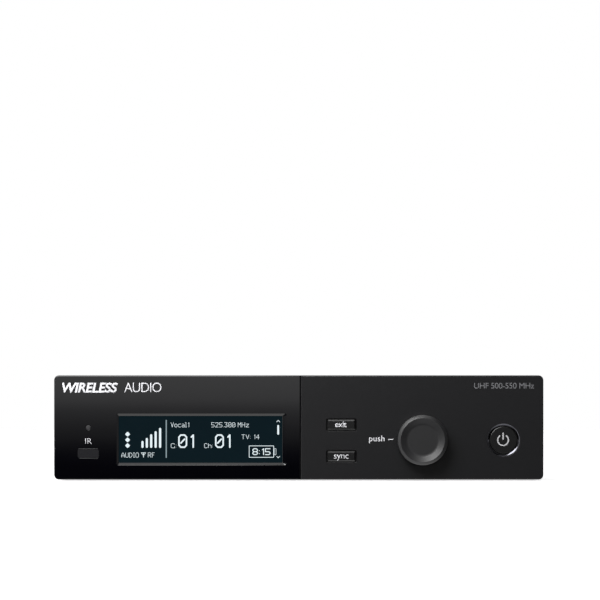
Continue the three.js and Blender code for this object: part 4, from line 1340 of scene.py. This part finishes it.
@dataclass(frozen=True)
class Knob:
    """The push-and-turn knob: a soft-touch drum with a sloped rim and a shallow dish."""

    radius: float = 10.05
    rim_round: float = 1.3
    dish_outer: float = 8.75
    dish_inner: float = 6.5
    dish_depth: float = 0.8
    wall: float = 1.6
    hub: float = 4.6
    bore: float = 3.12
    shaft_end: float = 2.6  # the bore's blind end, behind the knob's rim
    back_edge: float = 0.3

    def build(self) -> None:
        """Builds the knob."""
        box = Box.of("encoder_knob")
        front, back, radius, roll = box.low.y, box.high.y, self.radius, self.rim_round
        floor = front + self.dish_depth
        hollow = floor + self.wall
        inner, outer, edge = self.dish_inner, self.dish_outer, self.back_edge
        dish = [
            (inner - 0.6, floor),
            (inner, floor - 0.03),
            (inner + 0.25, floor - 0.12),
            (outer - 0.25, front + 0.14),
            (outer - 0.05, front + 0.03),
        ]
        rim = [
            (outer + 0.04, front),
            (outer + 0.12, front + 0.03),
            (outer + 0.22, front + 0.08),
            (radius - roll * 0.14, front + roll * 0.46),
            (radius - roll * 0.05, front + roll * 0.58),
            (radius, front + roll * 0.8),
        ]
        inside = [
            (radius, back - edge),
            (radius - edge, back),
            (radius - self.wall, back),
            (radius - self.wall, hollow),
            (self.hub, hollow),
            (self.hub, back - edge),
            (self.bore, back - edge),
            (self.bore, front + self.shaft_end),
        ]
        body = Shell().turned(box.front, dish + rim + inside, 128)
        show(body.mesh("encoder_knob_drum"), KNOB_SOFT, "knob", ["encoder_knob"])


@dataclass(frozen=True)
class FasciaPrint:
    """The words printed on the control side."""

    push: Line = Line("push", 28.3, 34.5, 15.45, 2.3)
    dash: tuple[float, float, float] = (36.05, 38.0, 16.2)  # left, right and height
    dash_width: float = 0.28
    band: Line = Line("UHF 500-550 MHz", 70.6, 94.7, 36.7, 2.25)

    def build(self) -> None:
        """Prints the words."""
        base = FASCIA.low.z
        left, right, height = self.dash
        dash = RoundedRect.about(((left + right) / 2, base + height), right - left, self.dash_width, 0.05)
        film = [(0, FACE - INK), (0, FACE + 0.05)]
        show(Shell().slab(dash, film).mesh("push_dash"), WHITE_INK)
        printed("push_word", [self.push], FACE, WHITE_INK, shift=(0.0, base))
        printed("band_words", [self.band], FACE, GREY_INK, shift=(0.0, base))


# ------------------------------------------------------------------ the case


@dataclass(frozen=True)
class SteelCase:
    """The tray with its rear panel, the cover bent over it, the screws and the feet."""

    sheet: float = 1.2
    bend: float = 1.8
    flange: float = 14.0
    edge: float = 0.12
    panel_edge: float = 0.5
    switch_opening: tuple[float, float, float] = (8.6, 3.6, 0.3)  # width, height and corner
    slots: int = 10
    slot_pitch: float = 5.0
    slot_size: Point = (2.2, 15.0)
    slots_from_rear: float = 82.0
    rack_hole: float = 2.0
    rack_hole_place: tuple[float, float, float] = (9.0, 25.0, 33.0)  # from the front, and two heights
    fit: float = 0.3  # how much larger a rear opening is than its connector, on each side
    screw_hole: float = 2.86
    screw_tap: float = 1.7
    screw_recess: float = 0.7
    screw_head: tuple[float, float, float] = (2.65, 2.75, 2.05)  # radii: face, widest and neck
    screw_shank: tuple[float, float, float, float] = (1.4, 1.38, 1.1, 0.9)  # start, crest, root and tip
    screw_cross: float = 2.6
    screw_turns: int = 8

    def build(self) -> None:
        """Builds the case."""
        self.build_cover()
        self.build_tray()
        self.build_feet()
        self.build_screws()

    def channel(self, half: float, top: float, low: float, turn: int) -> Loop:
        """Returns the section of a sheet bent at both long edges.

        Args:
            half: Half of the outside width.
            top: z of the web's outer face.
            low: z where the sides' straight stretch ends.
            turn: +1 for a web on top, -1 for a web underneath.

        Returns:
            The section, from one side's edge over the web to the other's.
        """
        angles = [step / 8 * math.pi / 2 for step in range(9)]
        faces = []
        for radius in (self.bend, self.bend - self.sheet):
            arc = [
                (half - self.bend + radius * math.cos(a), top - turn * (self.bend - radius * math.sin(a)))
                for a in angles
            ]
            faces.append([(-x, z) for x, z in arc] + arc[::-1])
        outside, inside = faces
        edge = half - self.sheet
        return Loop(((-half, low), *outside, (half, low), (edge, low), *inside[::-1], (-edge, low)))

    def build_cover(self) -> None:
        """Builds the cover: two pierced sides and the bent top between them."""
        shoulder = CASE.high.z - self.bend
        outline = RoundedRect((CASE.low.y, CASE.high.y), (CASE.low.z, shoulder), (0.0,) * 4, 2)
        body = Shell(Along.X)
        for side, word in SIDES:
            outer = side * CASE.high.x
            inner = outer - side * self.sheet
            rim = [*flared(outer, self.edge, -side, 3), *reversed(flared(inner, self.edge, side, 3))]
            openings = [Opening(shape, rim) for shape in self.side_holes()]
            for end in ("front", "rear"):
                screw = Box.of(f"cover_screw_{word}_{end}").centre
                sink = [(self.screw_hole, outer), (self.screw_tap, inner)]
                openings.append(bore((screw.y, screw.z), sink, 40))
            body.slab(outline, [(0, outer), (0, inner)], openings)
        body.along = Along.Y
        section = self.channel(CASE.high.x, CASE.high.z, shoulder, 1)
        body.slab(section, [(0, CASE.low.y), (0, CASE.high.y)])
        show(body.mesh("steel_cover"), POWDER_COAT, replaces=["top_cover"])

    def side_holes(self) -> list[Outline]:
        """Returns the vent slots and the two threaded holes for a rack ear, in y and z.

        Returns:
            The outlines.
        """
        width, height = self.slot_size
        middle = (TRAY.low.z + self.flange + CASE.high.z) / 2
        start = CASE.high.y - self.slots_from_rear
        shapes: list[Outline] = [
            RoundedRect.about((start + i * self.slot_pitch, middle), width, height, width / 2)
            for i in range(self.slots)
        ]
        back, *heights = self.rack_hole_place
        return shapes + [Disc((CASE.low.y + back, CASE.low.z + z), self.rack_hole, 32) for z in heights]

    def build_tray(self) -> None:
        """Builds the tray: its floor and flanges, and the rear panel with its openings."""
        half, floor, back = TRAY.high.x, TRAY.low.z, TRAY.high.y
        inner = back - self.sheet
        section = self.channel(half, floor, floor + self.flange, -1)
        body = Shell().slab(section, [(0, TRAY.low.y), (0, inner)])
        rim = [(0, inner), *outward(ended(back, self.edge, 3))]
        body.slab(
            RoundedRect((-half, half), (floor, TRAY.high.z), (self.bend,) * 4),
            [(0, inner), *ended(back, self.panel_edge)],
            [Opening(shape, rim) for shape in self.rear_holes()],
        )
        show(body.mesh("steel_tray"), POWDER_COAT, replaces=["chassis_tray"])

    def rear_holes(self) -> list[Outline]:
        """Returns the rear panel's openings, each a little larger than its connector.

        Returns:
            The outlines, in x and z.
        """
        bushings = (("antenna_nut_a", 4.75, 48), ("antenna_nut_b", 4.75, 48))
        bushings += (("xlr_shell", 11.5, 64), ("line_jack_nut", 5.6, 48))
        shapes: list[Outline] = [
            Disc(Box.of(node).front, radius + self.fit, steps) for node, radius, steps in bushings
        ]
        shapes += [Box.of(node).face(0.4, self.fit) for node in ("ethernet_jack", "dc_inlet")]
        return shapes + [RoundedRect.about(Box.of("level_switch").front, *self.switch_opening)]

    def build_feet(self) -> None:
        """Builds the four feet, each with a rounded lower edge and a shallow hollow."""
        for place in ("front_left", "front_right", "rear_left", "rear_right"):
            box = Box.of(f"foot_{place}")
            radius = box.size.x / 2
            profile = [(radius * 0.62, 0.25), (radius * 0.68, 0.0)]
            profile += [(radius - inset, depth) for inset, depth in rounded(0.0, 0.5)]
            profile.append((radius, box.high.z))
            body = Shell(Along.Z).turned((box.centre.x, box.centre.y), profile)
            show(body.mesh(f"rubber_foot_{place}"), FOOT_RUBBER, replaces=[f"foot_{place}"])

    def build_screws(self) -> None:
        """Builds the countersunk screws in the cover's sides and under the front."""
        for side, word in SIDES:
            for end in ("front", "rear"):
                box = Box.of(f"cover_screw_{word}_{end}")
                ends = (box.high.x, box.low.x)[::side]
                self.build_screw(f"cover_screw_{word}_{end}", Along.X, (box.centre.y, box.centre.z), *ends)
            box = Box.of(f"bezel_screw_{word}")
            axis = (box.centre.x, box.centre.y)
            self.build_screw(f"bezel_screw_{word}", Along.Z, axis, box.low.z, box.high.z)

    def build_screw(self, node: str, along: Along, centre: Point, face: float, tip: float) -> None:
        """Builds a countersunk screw, with a cross recess in its head and grooves for its thread.

        Args:
            node: The CAD node that it replaces.
            along: The screw's axis.
            centre: The axis's place in the outline's plane.
            face: Where the head's flat face is.
            tip: Where the shank ends.
        """
        way = 1 if tip > face else -1
        neck = face + way * self.screw_recess
        flat, widest, waist = self.screw_head
        head = [(flat, face), (widest, face + way * 0.08), (waist, neck)]
        cross = Opening(cross_recess(centre, self.screw_cross), [(0, face), (0, neck)])
        body = Shell(along).turned(centre, head, 40, [cross])
        start = face + way * self.sheet
        top, crest, root, end = self.screw_shank
        shank = [(waist, neck), (top, start)]
        pitch = (tip - start) / self.screw_turns
        for turn in range(self.screw_turns):
            here = start + turn * pitch
            shank += [(crest, here + pitch * 0.2), (root, here + pitch * 0.6)]
        body.turned(centre, [*shank, (end, tip)], 40)
        show(body.mesh(f"{node}_head"), BLACK_OXIDE, replaces=[node])


# ------------------------------------------------------------------ the rear panel


@dataclass(frozen=True)
class RearPanel:
    """The connectors on the rear panel."""

    barrel: float = 4.75  # an antenna jack's threaded barrel
    mouth: float = 4.05
    insulator: float = 2.45
    contact: float = 0.95
    socket_depth: float = 9.0
    lug: float = 1.0
    lug_rise: float = 0.85
    shell_bore: float = 9.5  # the audio connector's
    shell_barrel: float = 11.5
    flange_thick: float = 1.6
    insert: float = 9.38
    pin: float = 1.2
    line_bushing: float = 5.6
    line_bore: float = 3.25
    inlet_bore: float = 3.1
    inlet_depth: float = 10.0
    port_depth: float = 14.0
    switch_depth: float = 4.6
    # The network port's mouth: half widths and heights of the latch's slot and of the plug's opening.
    latch: tuple[float, float] = (3.1, 2.6)
    plug: tuple[float, float, float] = (5.9, 4.6, 11.8)

    def build(self) -> None:
        """Builds every connector."""
        for side in ("a", "b"):
            self.build_antenna_jack(side)
        self.build_audio_connector()
        self.build_line_jack()
        self.build_power_inlet()
        self.build_network_port()
        self.build_level_switch()

    def build_antenna_jack(self, side: str) -> None:
        """Builds one antenna jack and its nut.

        Args:
            side: Which jack: a or b.
        """
        node = f"antenna_jack_{side}"
        nut, box = Box.of(f"antenna_nut_{side}"), Box.of(node)
        centre, tip, start = nut.front, box.high.y, nut.high.y + 0.4
        barrel, mouth, floor = self.barrel, self.mouth, box.high.y - self.socket_depth
        profile = [(barrel, nut.low.y - 0.9), (barrel, start)]
        profile += threaded(barrel, start, tip - 8.2, 0.8, 0.2, 0.22)
        profile += [(barrel, tip - 0.25), (barrel - 0.25, tip), (mouth + 0.15, tip)]
        profile += [(mouth, tip - 0.2), (mouth, floor)]
        body = Shell().turned(centre, profile)
        block = RoundedRect((box.low.x, box.high.x), (box.low.z, nut.centre.z + 7.25), (0.4,) * 4)
        body.slab(block, [*rounded(box.low.y, 0.3), (0, nut.low.y - 1.4)])
        show(body.mesh(f"{node}_barrel"), NICKEL, replaces=[node])

        lugs = Shell(Along.Z)
        for way in (-1, 1):
            base, top = (centre[1] + way * (barrel + rise) for rise in (-0.3, self.lug_rise))
            profile = [(self.lug, base), (self.lug, top - way * 0.2), (self.lug - 0.2, top)]
            lugs.turned((centre[0], tip - 5), profile, 32)
        show(lugs.mesh(f"{node}_lugs"), NICKEL)

        core = self.sleeve(centre, (self.insulator, self.contact), (floor, tip - 1.4), (48, 32))
        show(core.mesh(f"{node}_insulator"), PALE_NYLON)
        tube = self.sleeve(centre, (self.contact, 0.5), (floor + 0.1, tip - 1.35), (32, 24))
        show(tube.mesh(f"{node}_contact"), GOLD_FLASH)
        self.build_nut(f"antenna_nut_{side}", barrel)

    @staticmethod
    def sleeve(centre: Point, radii: Point, ends: Point, steps: tuple[int, int]) -> Shell:
        """Builds a tube whose outer edge is chamfered at its far end.

        Args:
            centre: The axis.
            radii: The outer and the inner radius.
            ends: Where it starts and ends.
            steps: Sides of the outer and of the inner circle.

        Returns:
            A shell that holds the tube.
        """
        (outer, inner), (start, end), chamfer = radii, ends, 0.15
        profile = [(outer, start), (outer, end - chamfer), (outer - chamfer, end)]
        hole = bore(centre, [(inner, start), (inner, end)], steps[1])
        return Shell().turned(centre, profile, steps[0], [hole])

    @staticmethod
    def build_nut(node: str, bushing: float) -> None:
        """Builds a hexagon nut with its corners turned down, over a bushing's radius.

        Args:
            node: The CAD node that it replaces.
            bushing: The bushing's radius.
        """
        box = Box.of(node)
        low, high, chamfer = box.low.y, box.high.y, 0.25
        inner = bushing + 0.1
        hole = bore(box.front, [(inner, low), (inner, high - chamfer), (inner + chamfer, high)], 60)
        hexagon = Disc(box.front, box.size.z / 2, 6, math.pi / 2)
        body = Shell().slab(hexagon, [(0, low), (0, high - chamfer), (0.45, high)], [hole])
        show(body.mesh(f"{node}_hexagon"), NICKEL, replaces=[node])

    def build_audio_connector(self) -> None:
        """Builds the three-pin audio output: flange and barrel, insert, pins and screws."""
        box = Box.of("xlr_shell")
        centre, face, inner = box.front, box.high.y, self.shell_bore
        seat = face - self.flange_thick
        screws = ("xlr_screw_1", "xlr_screw_2")
        holes = [bore(centre, [(inner, seat), (inner, face - 0.5), (inner + 0.5, face)], 72)]
        holes += [bore(Box.of(screw).front, [(1.5, seat), (1.5, face)], 24) for screw in screws]
        body = Shell().slab(box.face(3.0), [(0, seat), *ended(face, 0.35)], holes)
        start, end, outer = box.low.y, seat - SEAM, self.shell_barrel
        tube = bore(centre, [(inner, start), (inner, end)], 72)
        body.turned(centre, [(outer, start), (outer, end)], 72, [tube])
        show(body.mesh("audio_output_shell"), CAST_NICKEL, replaces=["xlr_shell"])

        insert = Box.of("xlr_insert")
        low, high, radius = insert.low.y, insert.high.y, self.insert
        pins = {number: Box.of(f"xlr_pin_{number}") for number in (1, 2, 3)}
        seats = [bore(pin.front, [(1.3, low), (1.3, high)], 24) for pin in pins.values()]
        core = Shell().turned(centre, [(radius, low), (radius, high - 0.3), (9.1, high)], 72, seats)
        show(core.mesh("audio_output_insert"), BLACK_NYLON, replaces=["xlr_insert"])
        for number, pin in pins.items():
            crown = pin.high.y - 0.8
            turns = [0.15 * step for step in range(10)]
            dome = [(self.pin * math.cos(t), crown + 0.8 * math.sin(t)) for t in turns]
            post = Shell().turned(pin.front, [(self.pin, pin.low.y), *dome], 32)
            show(post.mesh(f"audio_output_pin_{number}"), NICKEL, replaces=[f"xlr_pin_{number}"])
        for screw in screws:
            self.build_pan_screw(screw)

    @staticmethod
    def build_pan_screw(node: str) -> None:
        """Builds a domed screw with a cross recess.

        Args:
            node: The CAD node that it replaces.
        """
        box = Box.of(node)
        centre, top, radius = box.front, box.high.y, box.size.x / 2
        seat = top - 1.5
        under = seat + 0.35
        turns = [0.16 * step for step in range(6)]
        dome = [(radius * math.cos(t), under + 1.15 * math.sin(t)) for t in turns]
        cross = Opening(cross_recess(centre, 2.5), [(0, under), (0, top)])
        body = Shell().turned(centre, [*dome, (0.55 * radius, top)], 40, [cross])
        body.turned(centre, [(radius, seat), (radius, under - SEAM)], 40)
        body.slab(Disc(centre, 1.35, 24), [(0, box.low.y), (0, seat)])
        show(body.mesh(f"{node}_head"), BLACK_OXIDE, replaces=[node])

    def build_line_jack(self) -> None:
        """Builds the line output: a moulded body with a threaded bushing, and its nut."""
        box, nut = Box.of("line_jack"), Box.of("line_jack_nut")
        centre, low, tip = box.front, box.low.y, box.high.y
        outer, inner, panel = self.line_bushing, self.line_bore, TRAY.high.y - 1.3
        throat = bore(centre, [(3.0, low), (3.0, panel)])
        body = Shell().slab(box.face(0.8), [*rounded(low, 0.4), (0, panel)], [throat])
        profile = [(outer, panel + SEAM), (outer, nut.high.y)]
        profile += threaded(outer, nut.high.y, tip - 0.4, 0.4, 0.15, 0.18)
        profile += [(outer - 0.3, tip), (inner + 0.25, tip), (inner, tip - 0.3), (inner, panel + 0.6)]
        body.turned(centre, profile)
        show(body.mesh("line_output_jack"), BLACK_NYLON, replaces=["line_jack"])
        self.build_nut("line_jack_nut", outer)

    @staticmethod
    def build_housing(
        node: str, name: str, finish: Finish, mouth: Opening, corner: float, edge: float
    ) -> None:
        """Builds a connector's block, solid behind and open from its mouth's floor to its face.

        Args:
            node: The CAD node that it replaces.
            name: The piece's name.
            finish: What it is made of.
            mouth: The opening, from its floor to the block's face.
            corner: Radius of the block's corners, seen from the front.
            edge: Radius of the edges at both ends.
        """
        box = Box.of(node)
        floor = mouth.profile[0][1]
        shape = box.face(corner)
        body = Shell().slab(shape, [(0, floor), *ended(box.high.y, edge)], [mouth])
        body.slab(shape, [*rounded(box.low.y, edge), (0, floor - SEAM)])
        show(body.mesh(name), finish, replaces=[node])

    def build_power_inlet(self) -> None:
        """Builds the low-voltage inlet: a moulded block with a pin in its bore."""
        box = Box.of("dc_inlet")
        face, radius = box.high.y, self.inlet_bore
        floor = face - self.inlet_depth
        centre = (box.centre.x, box.centre.z + 0.6)
        mouth = bore(centre, [(radius, floor), (radius, face - 0.4), (radius + 0.4, face)])
        self.build_housing("dc_inlet", "power_inlet_body", BLACK_NYLON, mouth, 0.5, 0.3)
        pin = Shell().turned(centre, [(1.0, floor), (1.0, face - 1.5), (0.6, face - 1.1)], 32)
        show(pin.mesh("power_inlet_pin"), NICKEL)

    def build_network_port(self) -> None:
        """Builds the network port: a folded tin shield round a black moulding with contacts."""
        box = Box.of("ethernet_jack")
        x, base, face = box.centre.x, box.low.z, box.high.y
        floor = face - self.port_depth
        (latch, sill), (plug, step, top) = self.latch, self.plug
        right = ((latch, sill), (latch, step), (plug, step), (plug, top))
        around = [(-latch, sill), *right, *((-u, v) for u, v in right[:0:-1])]
        mouth = Opening(Loop(tuple((x + u, base + v) for u, v in around)), [(0, floor), (0, face)])
        self.build_housing("ethernet_jack", "network_port_shield", TIN_PLATE, mouth, 0.5, 0.3)
        fit, back = 0.02, floor + 1
        across = (x - plug + fit, x + plug - fit)
        up = (base + step + fit, base + top - fit)
        wall = Shell().slab(RoundedRect(across, up, (0.1,) * 4), [(0, floor), (0, back)])
        show(wall.mesh("network_port_moulding"), BLACK_NYLON)
        wires = Shell()
        for number in range(8):
            wire = RoundedRect.about((x + (number - 3.5) * 1.02, base + 9.4), 0.44, 0.4, 0.1)
            wires.slab(wire, [(0, back), (0, floor + 10)])
        show(wires.mesh("network_port_contacts"), GOLD_FLASH)

    def build_level_switch(self) -> None:
        """Builds the output level's slide switch: its body, and its ribbed lever."""
        body, lever = Box.of("level_switch"), Box.of("level_slider")
        well = RoundedRect.about(body.front, 8.0, 3.5, 0.2)
        mouth = Opening(well, [(0, body.high.y - self.switch_depth), (0, body.high.y)])
        self.build_housing("level_switch", "level_switch_body", BLACK_NYLON, mouth, 0.3, 0.0)
        tip = lever.high.y
        profile = [(0, lever.low.y), (0, tip - 0.9)]
        for here in (tip - 0.85, tip - 0.5):
            profile += [(0.18, here + 0.08), (0, here + 0.25)]
        cap = Shell().slab(lever.face(0.25), [*profile, (0.25, tip)])
        show(cap.mesh("level_switch_lever"), PALE_NYLON, "level_lever", ["level_slider"])


@dataclass(frozen=True)
class Internals:
    """The pieces inside the case, which keep their CAD shapes and get real materials."""

    finishes: tuple[Finish, ...] = (
        BOARD, DISPLAY_GLASS, TIN_PLATE, BLACK_NYLON, PALE_NYLON, FILM, ZINC_PLATE, NICKEL,
    )

    def dress(self) -> None:
        """Gives every CAD node that nothing has replaced the finish of its material slot."""
        by_slot = {finish.slot: finish for finish in self.finishes}
        slots = {part["node"]: part["material_slot"] for part in frame["record"]["subparts"]}
        for name, node in sorted(frame["nodes"].items()):
            if node.hide_render:
                continue
            node.data.materials.clear()
            node.data.materials.append(by_slot[slots[name]].material())
            log.info("%s keeps its CAD shape, %s", name, slots[name])


# ------------------------------------------------------------------ studio


@dataclass(frozen=True)
class Studio:
    """A pale floor, a soft white surround and one large light from the upper left, in metres."""

    floor_radius: float = 30.0
    view_width: float = 0.24153  # what the view takes in at the fascia's face
    distance: float = 1.5  # from the camera to the fascia's face
    across: float = 0.00204  # the object's middle, left of the view's, as a share of its width
    down: float = 0.21245  # and below it
    key_power: float = 3.4
    key_size: float = 0.3
    key_place: tuple[float, float, float] = (-0.15, -0.458, 0.335)
    key_aim: tuple[float, float, float] = (0.0, FACE * MM, 0.02)
    # Each pair is a height towards the card in front, and how bright the card is there.
    card: tuple[Point, ...] = (
        (-0.0102, 0.0), (-0.0073, 0.034), (-0.0059, 0.057), (-0.0043, 0.111), (-0.0025, 0.2),
        (-0.0005, 0.25), (0.0021, 0.37), (0.0048, 0.51), (0.0075, 0.87), (0.0118, 1.01), (0.014, 1.05),
    )
    card_reach: float = 0.02
    # The rest of the surround, by the share of a direction that points up or away from the camera.
    above_card: Ramp = Ramp(0.03, 0.09, 1.0, 0.12)
    ahead: Ramp = Ramp(-0.62, -0.75)
    behind: Ramp = Ramp(-0.2, 0.2, 0.0, 0.2)
    overhead: Ramp = Ramp(0.88, 1.0, 0.0, 3.7)
    from_below: Ramp = Ramp(-0.45, -0.95, 0.0, 2.0)
    # Two upright cards beside the camera: their light from left to right, and their four edges.
    side_light: Ramp = Ramp(-0.05, 0.05, 2.2, 0.32)
    side_inner: Ramp = Ramp(-0.58, -0.52)
    side_outer: Ramp = Ramp(-0.22, -0.28)
    side_ends: Ramp = Ramp(0.75, 0.5)

    def build(self) -> None:
        """Builds the floor, the surround, the light and the camera."""
        self.build_floor()
        self.build_surround()
        self.build_light()
        self.build_camera()
        bpy.context.scene.view_settings.view_transform = "Standard"

    def build_floor(self) -> None:
        """Builds a wide round floor of pale, faintly mottled paper."""
        paper = Finish(
            "pale_studio_paper", "", "#f2f2f2", "#f6f6f6", 0.85, 0.05, 3.0, 0.01, mottle=80, glow=0.6
        )
        sheet = Shell(Along.Z).slab(Disc((0, 0), self.floor_radius / MM, 96), [(0, -20.0), (0, -0.2)])
        floor = bpy.data.objects.new("studio_floor", sheet.mesh("studio_floor"))
        bpy.context.scene.collection.objects.link(floor)
        floor.data.materials.append(paper.material())
        floor.visible_glossy = False  # the floor gives no light back, as if it were flagged off
        floor.visible_diffuse = False

    def build_surround(self) -> None:
        """Builds the surround: white behind and above, with a soft lower edge to the front card."""
        world = bpy.data.worlds.new("studio_surround")
        world.use_nodes = True
        tree = world.node_tree
        tree.nodes.clear()
        towards = add(tree, "ShaderNodeTexCoord").outputs["Generated"]
        parts = add(tree, "ShaderNodeSeparateXYZ", links={"Vector": towards})
        right, forward, up = (parts.outputs[axis] for axis in "XYZ")
        front = combined(
            tree, "MULTIPLY", self.edge_of_card(tree, up), self.above_card.of(tree, up),
            self.ahead.of(tree, forward),
        )
        height = add(tree, "ShaderNodeMath", {"operation": "ABSOLUTE"}, {0: up}).outputs["Value"]
        edges = [self.side_inner.of(tree, forward), self.side_outer.of(tree, forward)]
        edges += [self.side_ends.of(tree, height), self.side_light.of(tree, right)]
        cards = combined(tree, "MULTIPLY", *edges)
        around = combined(tree, "MAXIMUM", front, self.behind.of(tree, forward), cards)
        soft = combined(tree, "ADD", around, self.overhead.of(tree, up), self.from_below.of(tree, up))
        seen = add(tree, "ShaderNodeLightPath").outputs["Is Camera Ray"]
        glow = add(tree, "ShaderNodeBackground", links={"Color": combined(tree, "MAXIMUM", soft, seen)})
        add(tree, "ShaderNodeOutputWorld", links={"Surface": glow.outputs["Background"]})
        bpy.context.scene.world = world

    def edge_of_card(self, tree: Tree, up: Socket) -> Socket:
        """Returns how bright the front card's soft lower edge is at each height.

        Args:
            tree: The surround's node tree.
            up: How far a direction points up.

        Returns:
            The brightness.
        """
        reach = self.card_reach
        ramp = add(tree, "ShaderNodeValToRGB", links={"Fac": Ramp(-reach, reach).of(tree, up)})
        stops = ramp.color_ramp.elements
        while len(stops) < len(self.card):
            stops.new(0.5)
        for stop, (height, value) in zip(stops, self.card):
            stop.position = (height + reach) / (2 * reach)
            stop.color = (value, value, value, 1.0)
        return ramp.outputs["Color"]

    def build_light(self) -> None:
        """Hangs one soft box at the upper left, in front."""
        light = bpy.data.lights.new("key_light", "AREA")
        light.shape = "SQUARE"
        light.size = self.key_size
        light.energy = self.key_power
        holder = bpy.data.objects.new("key_light", light)
        bpy.context.scene.collection.objects.link(holder)
        holder.location = self.key_place
        aim = Vector(self.key_aim) - holder.location
        holder.rotation_euler = aim.to_track_quat("-Z", "Y").to_euler()

    def build_camera(self) -> None:
        """Stands the camera level with the fascia's middle, square to it."""
        camera = bpy.data.cameras.new("camera")
        camera.sensor_width = 36.0
        camera.lens = camera.sensor_width * self.distance / self.view_width
        camera.shift_x = self.across
        camera.shift_y = self.down
        camera.clip_start = 0.05
        camera.clip_end = 100.0
        holder = bpy.data.objects.new("camera", camera)
        bpy.context.scene.collection.objects.link(holder)
        holder.location = (0.0, FACE * MM - self.distance, FASCIA.centre.z * MM)
        holder.rotation_euler = (math.pi / 2, 0.0, 0.0)
        bpy.context.scene.camera = holder


def main() -> None:
    """Builds the whole object and its studio."""
    logging.basicConfig(level=logging.INFO, format="%(name)s: %(message)s")
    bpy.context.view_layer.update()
    Fascia().build()
    DisplayPanel().build()
    Key("exit", Line("exit", -2.5, 2.1, -0.95, 2.3, 0.002)).build()
    Key("sync", Line("sync", -2.95, 2.9, -0.95, 2.45, -0.006)).build()
    PowerButton().build()
    Knob().build()
    FasciaPrint().build()
    SteelCase().build()
    RearPanel().build()
    Internals().dress()
    Studio().build()


if __name__ == "__main__":
    main()
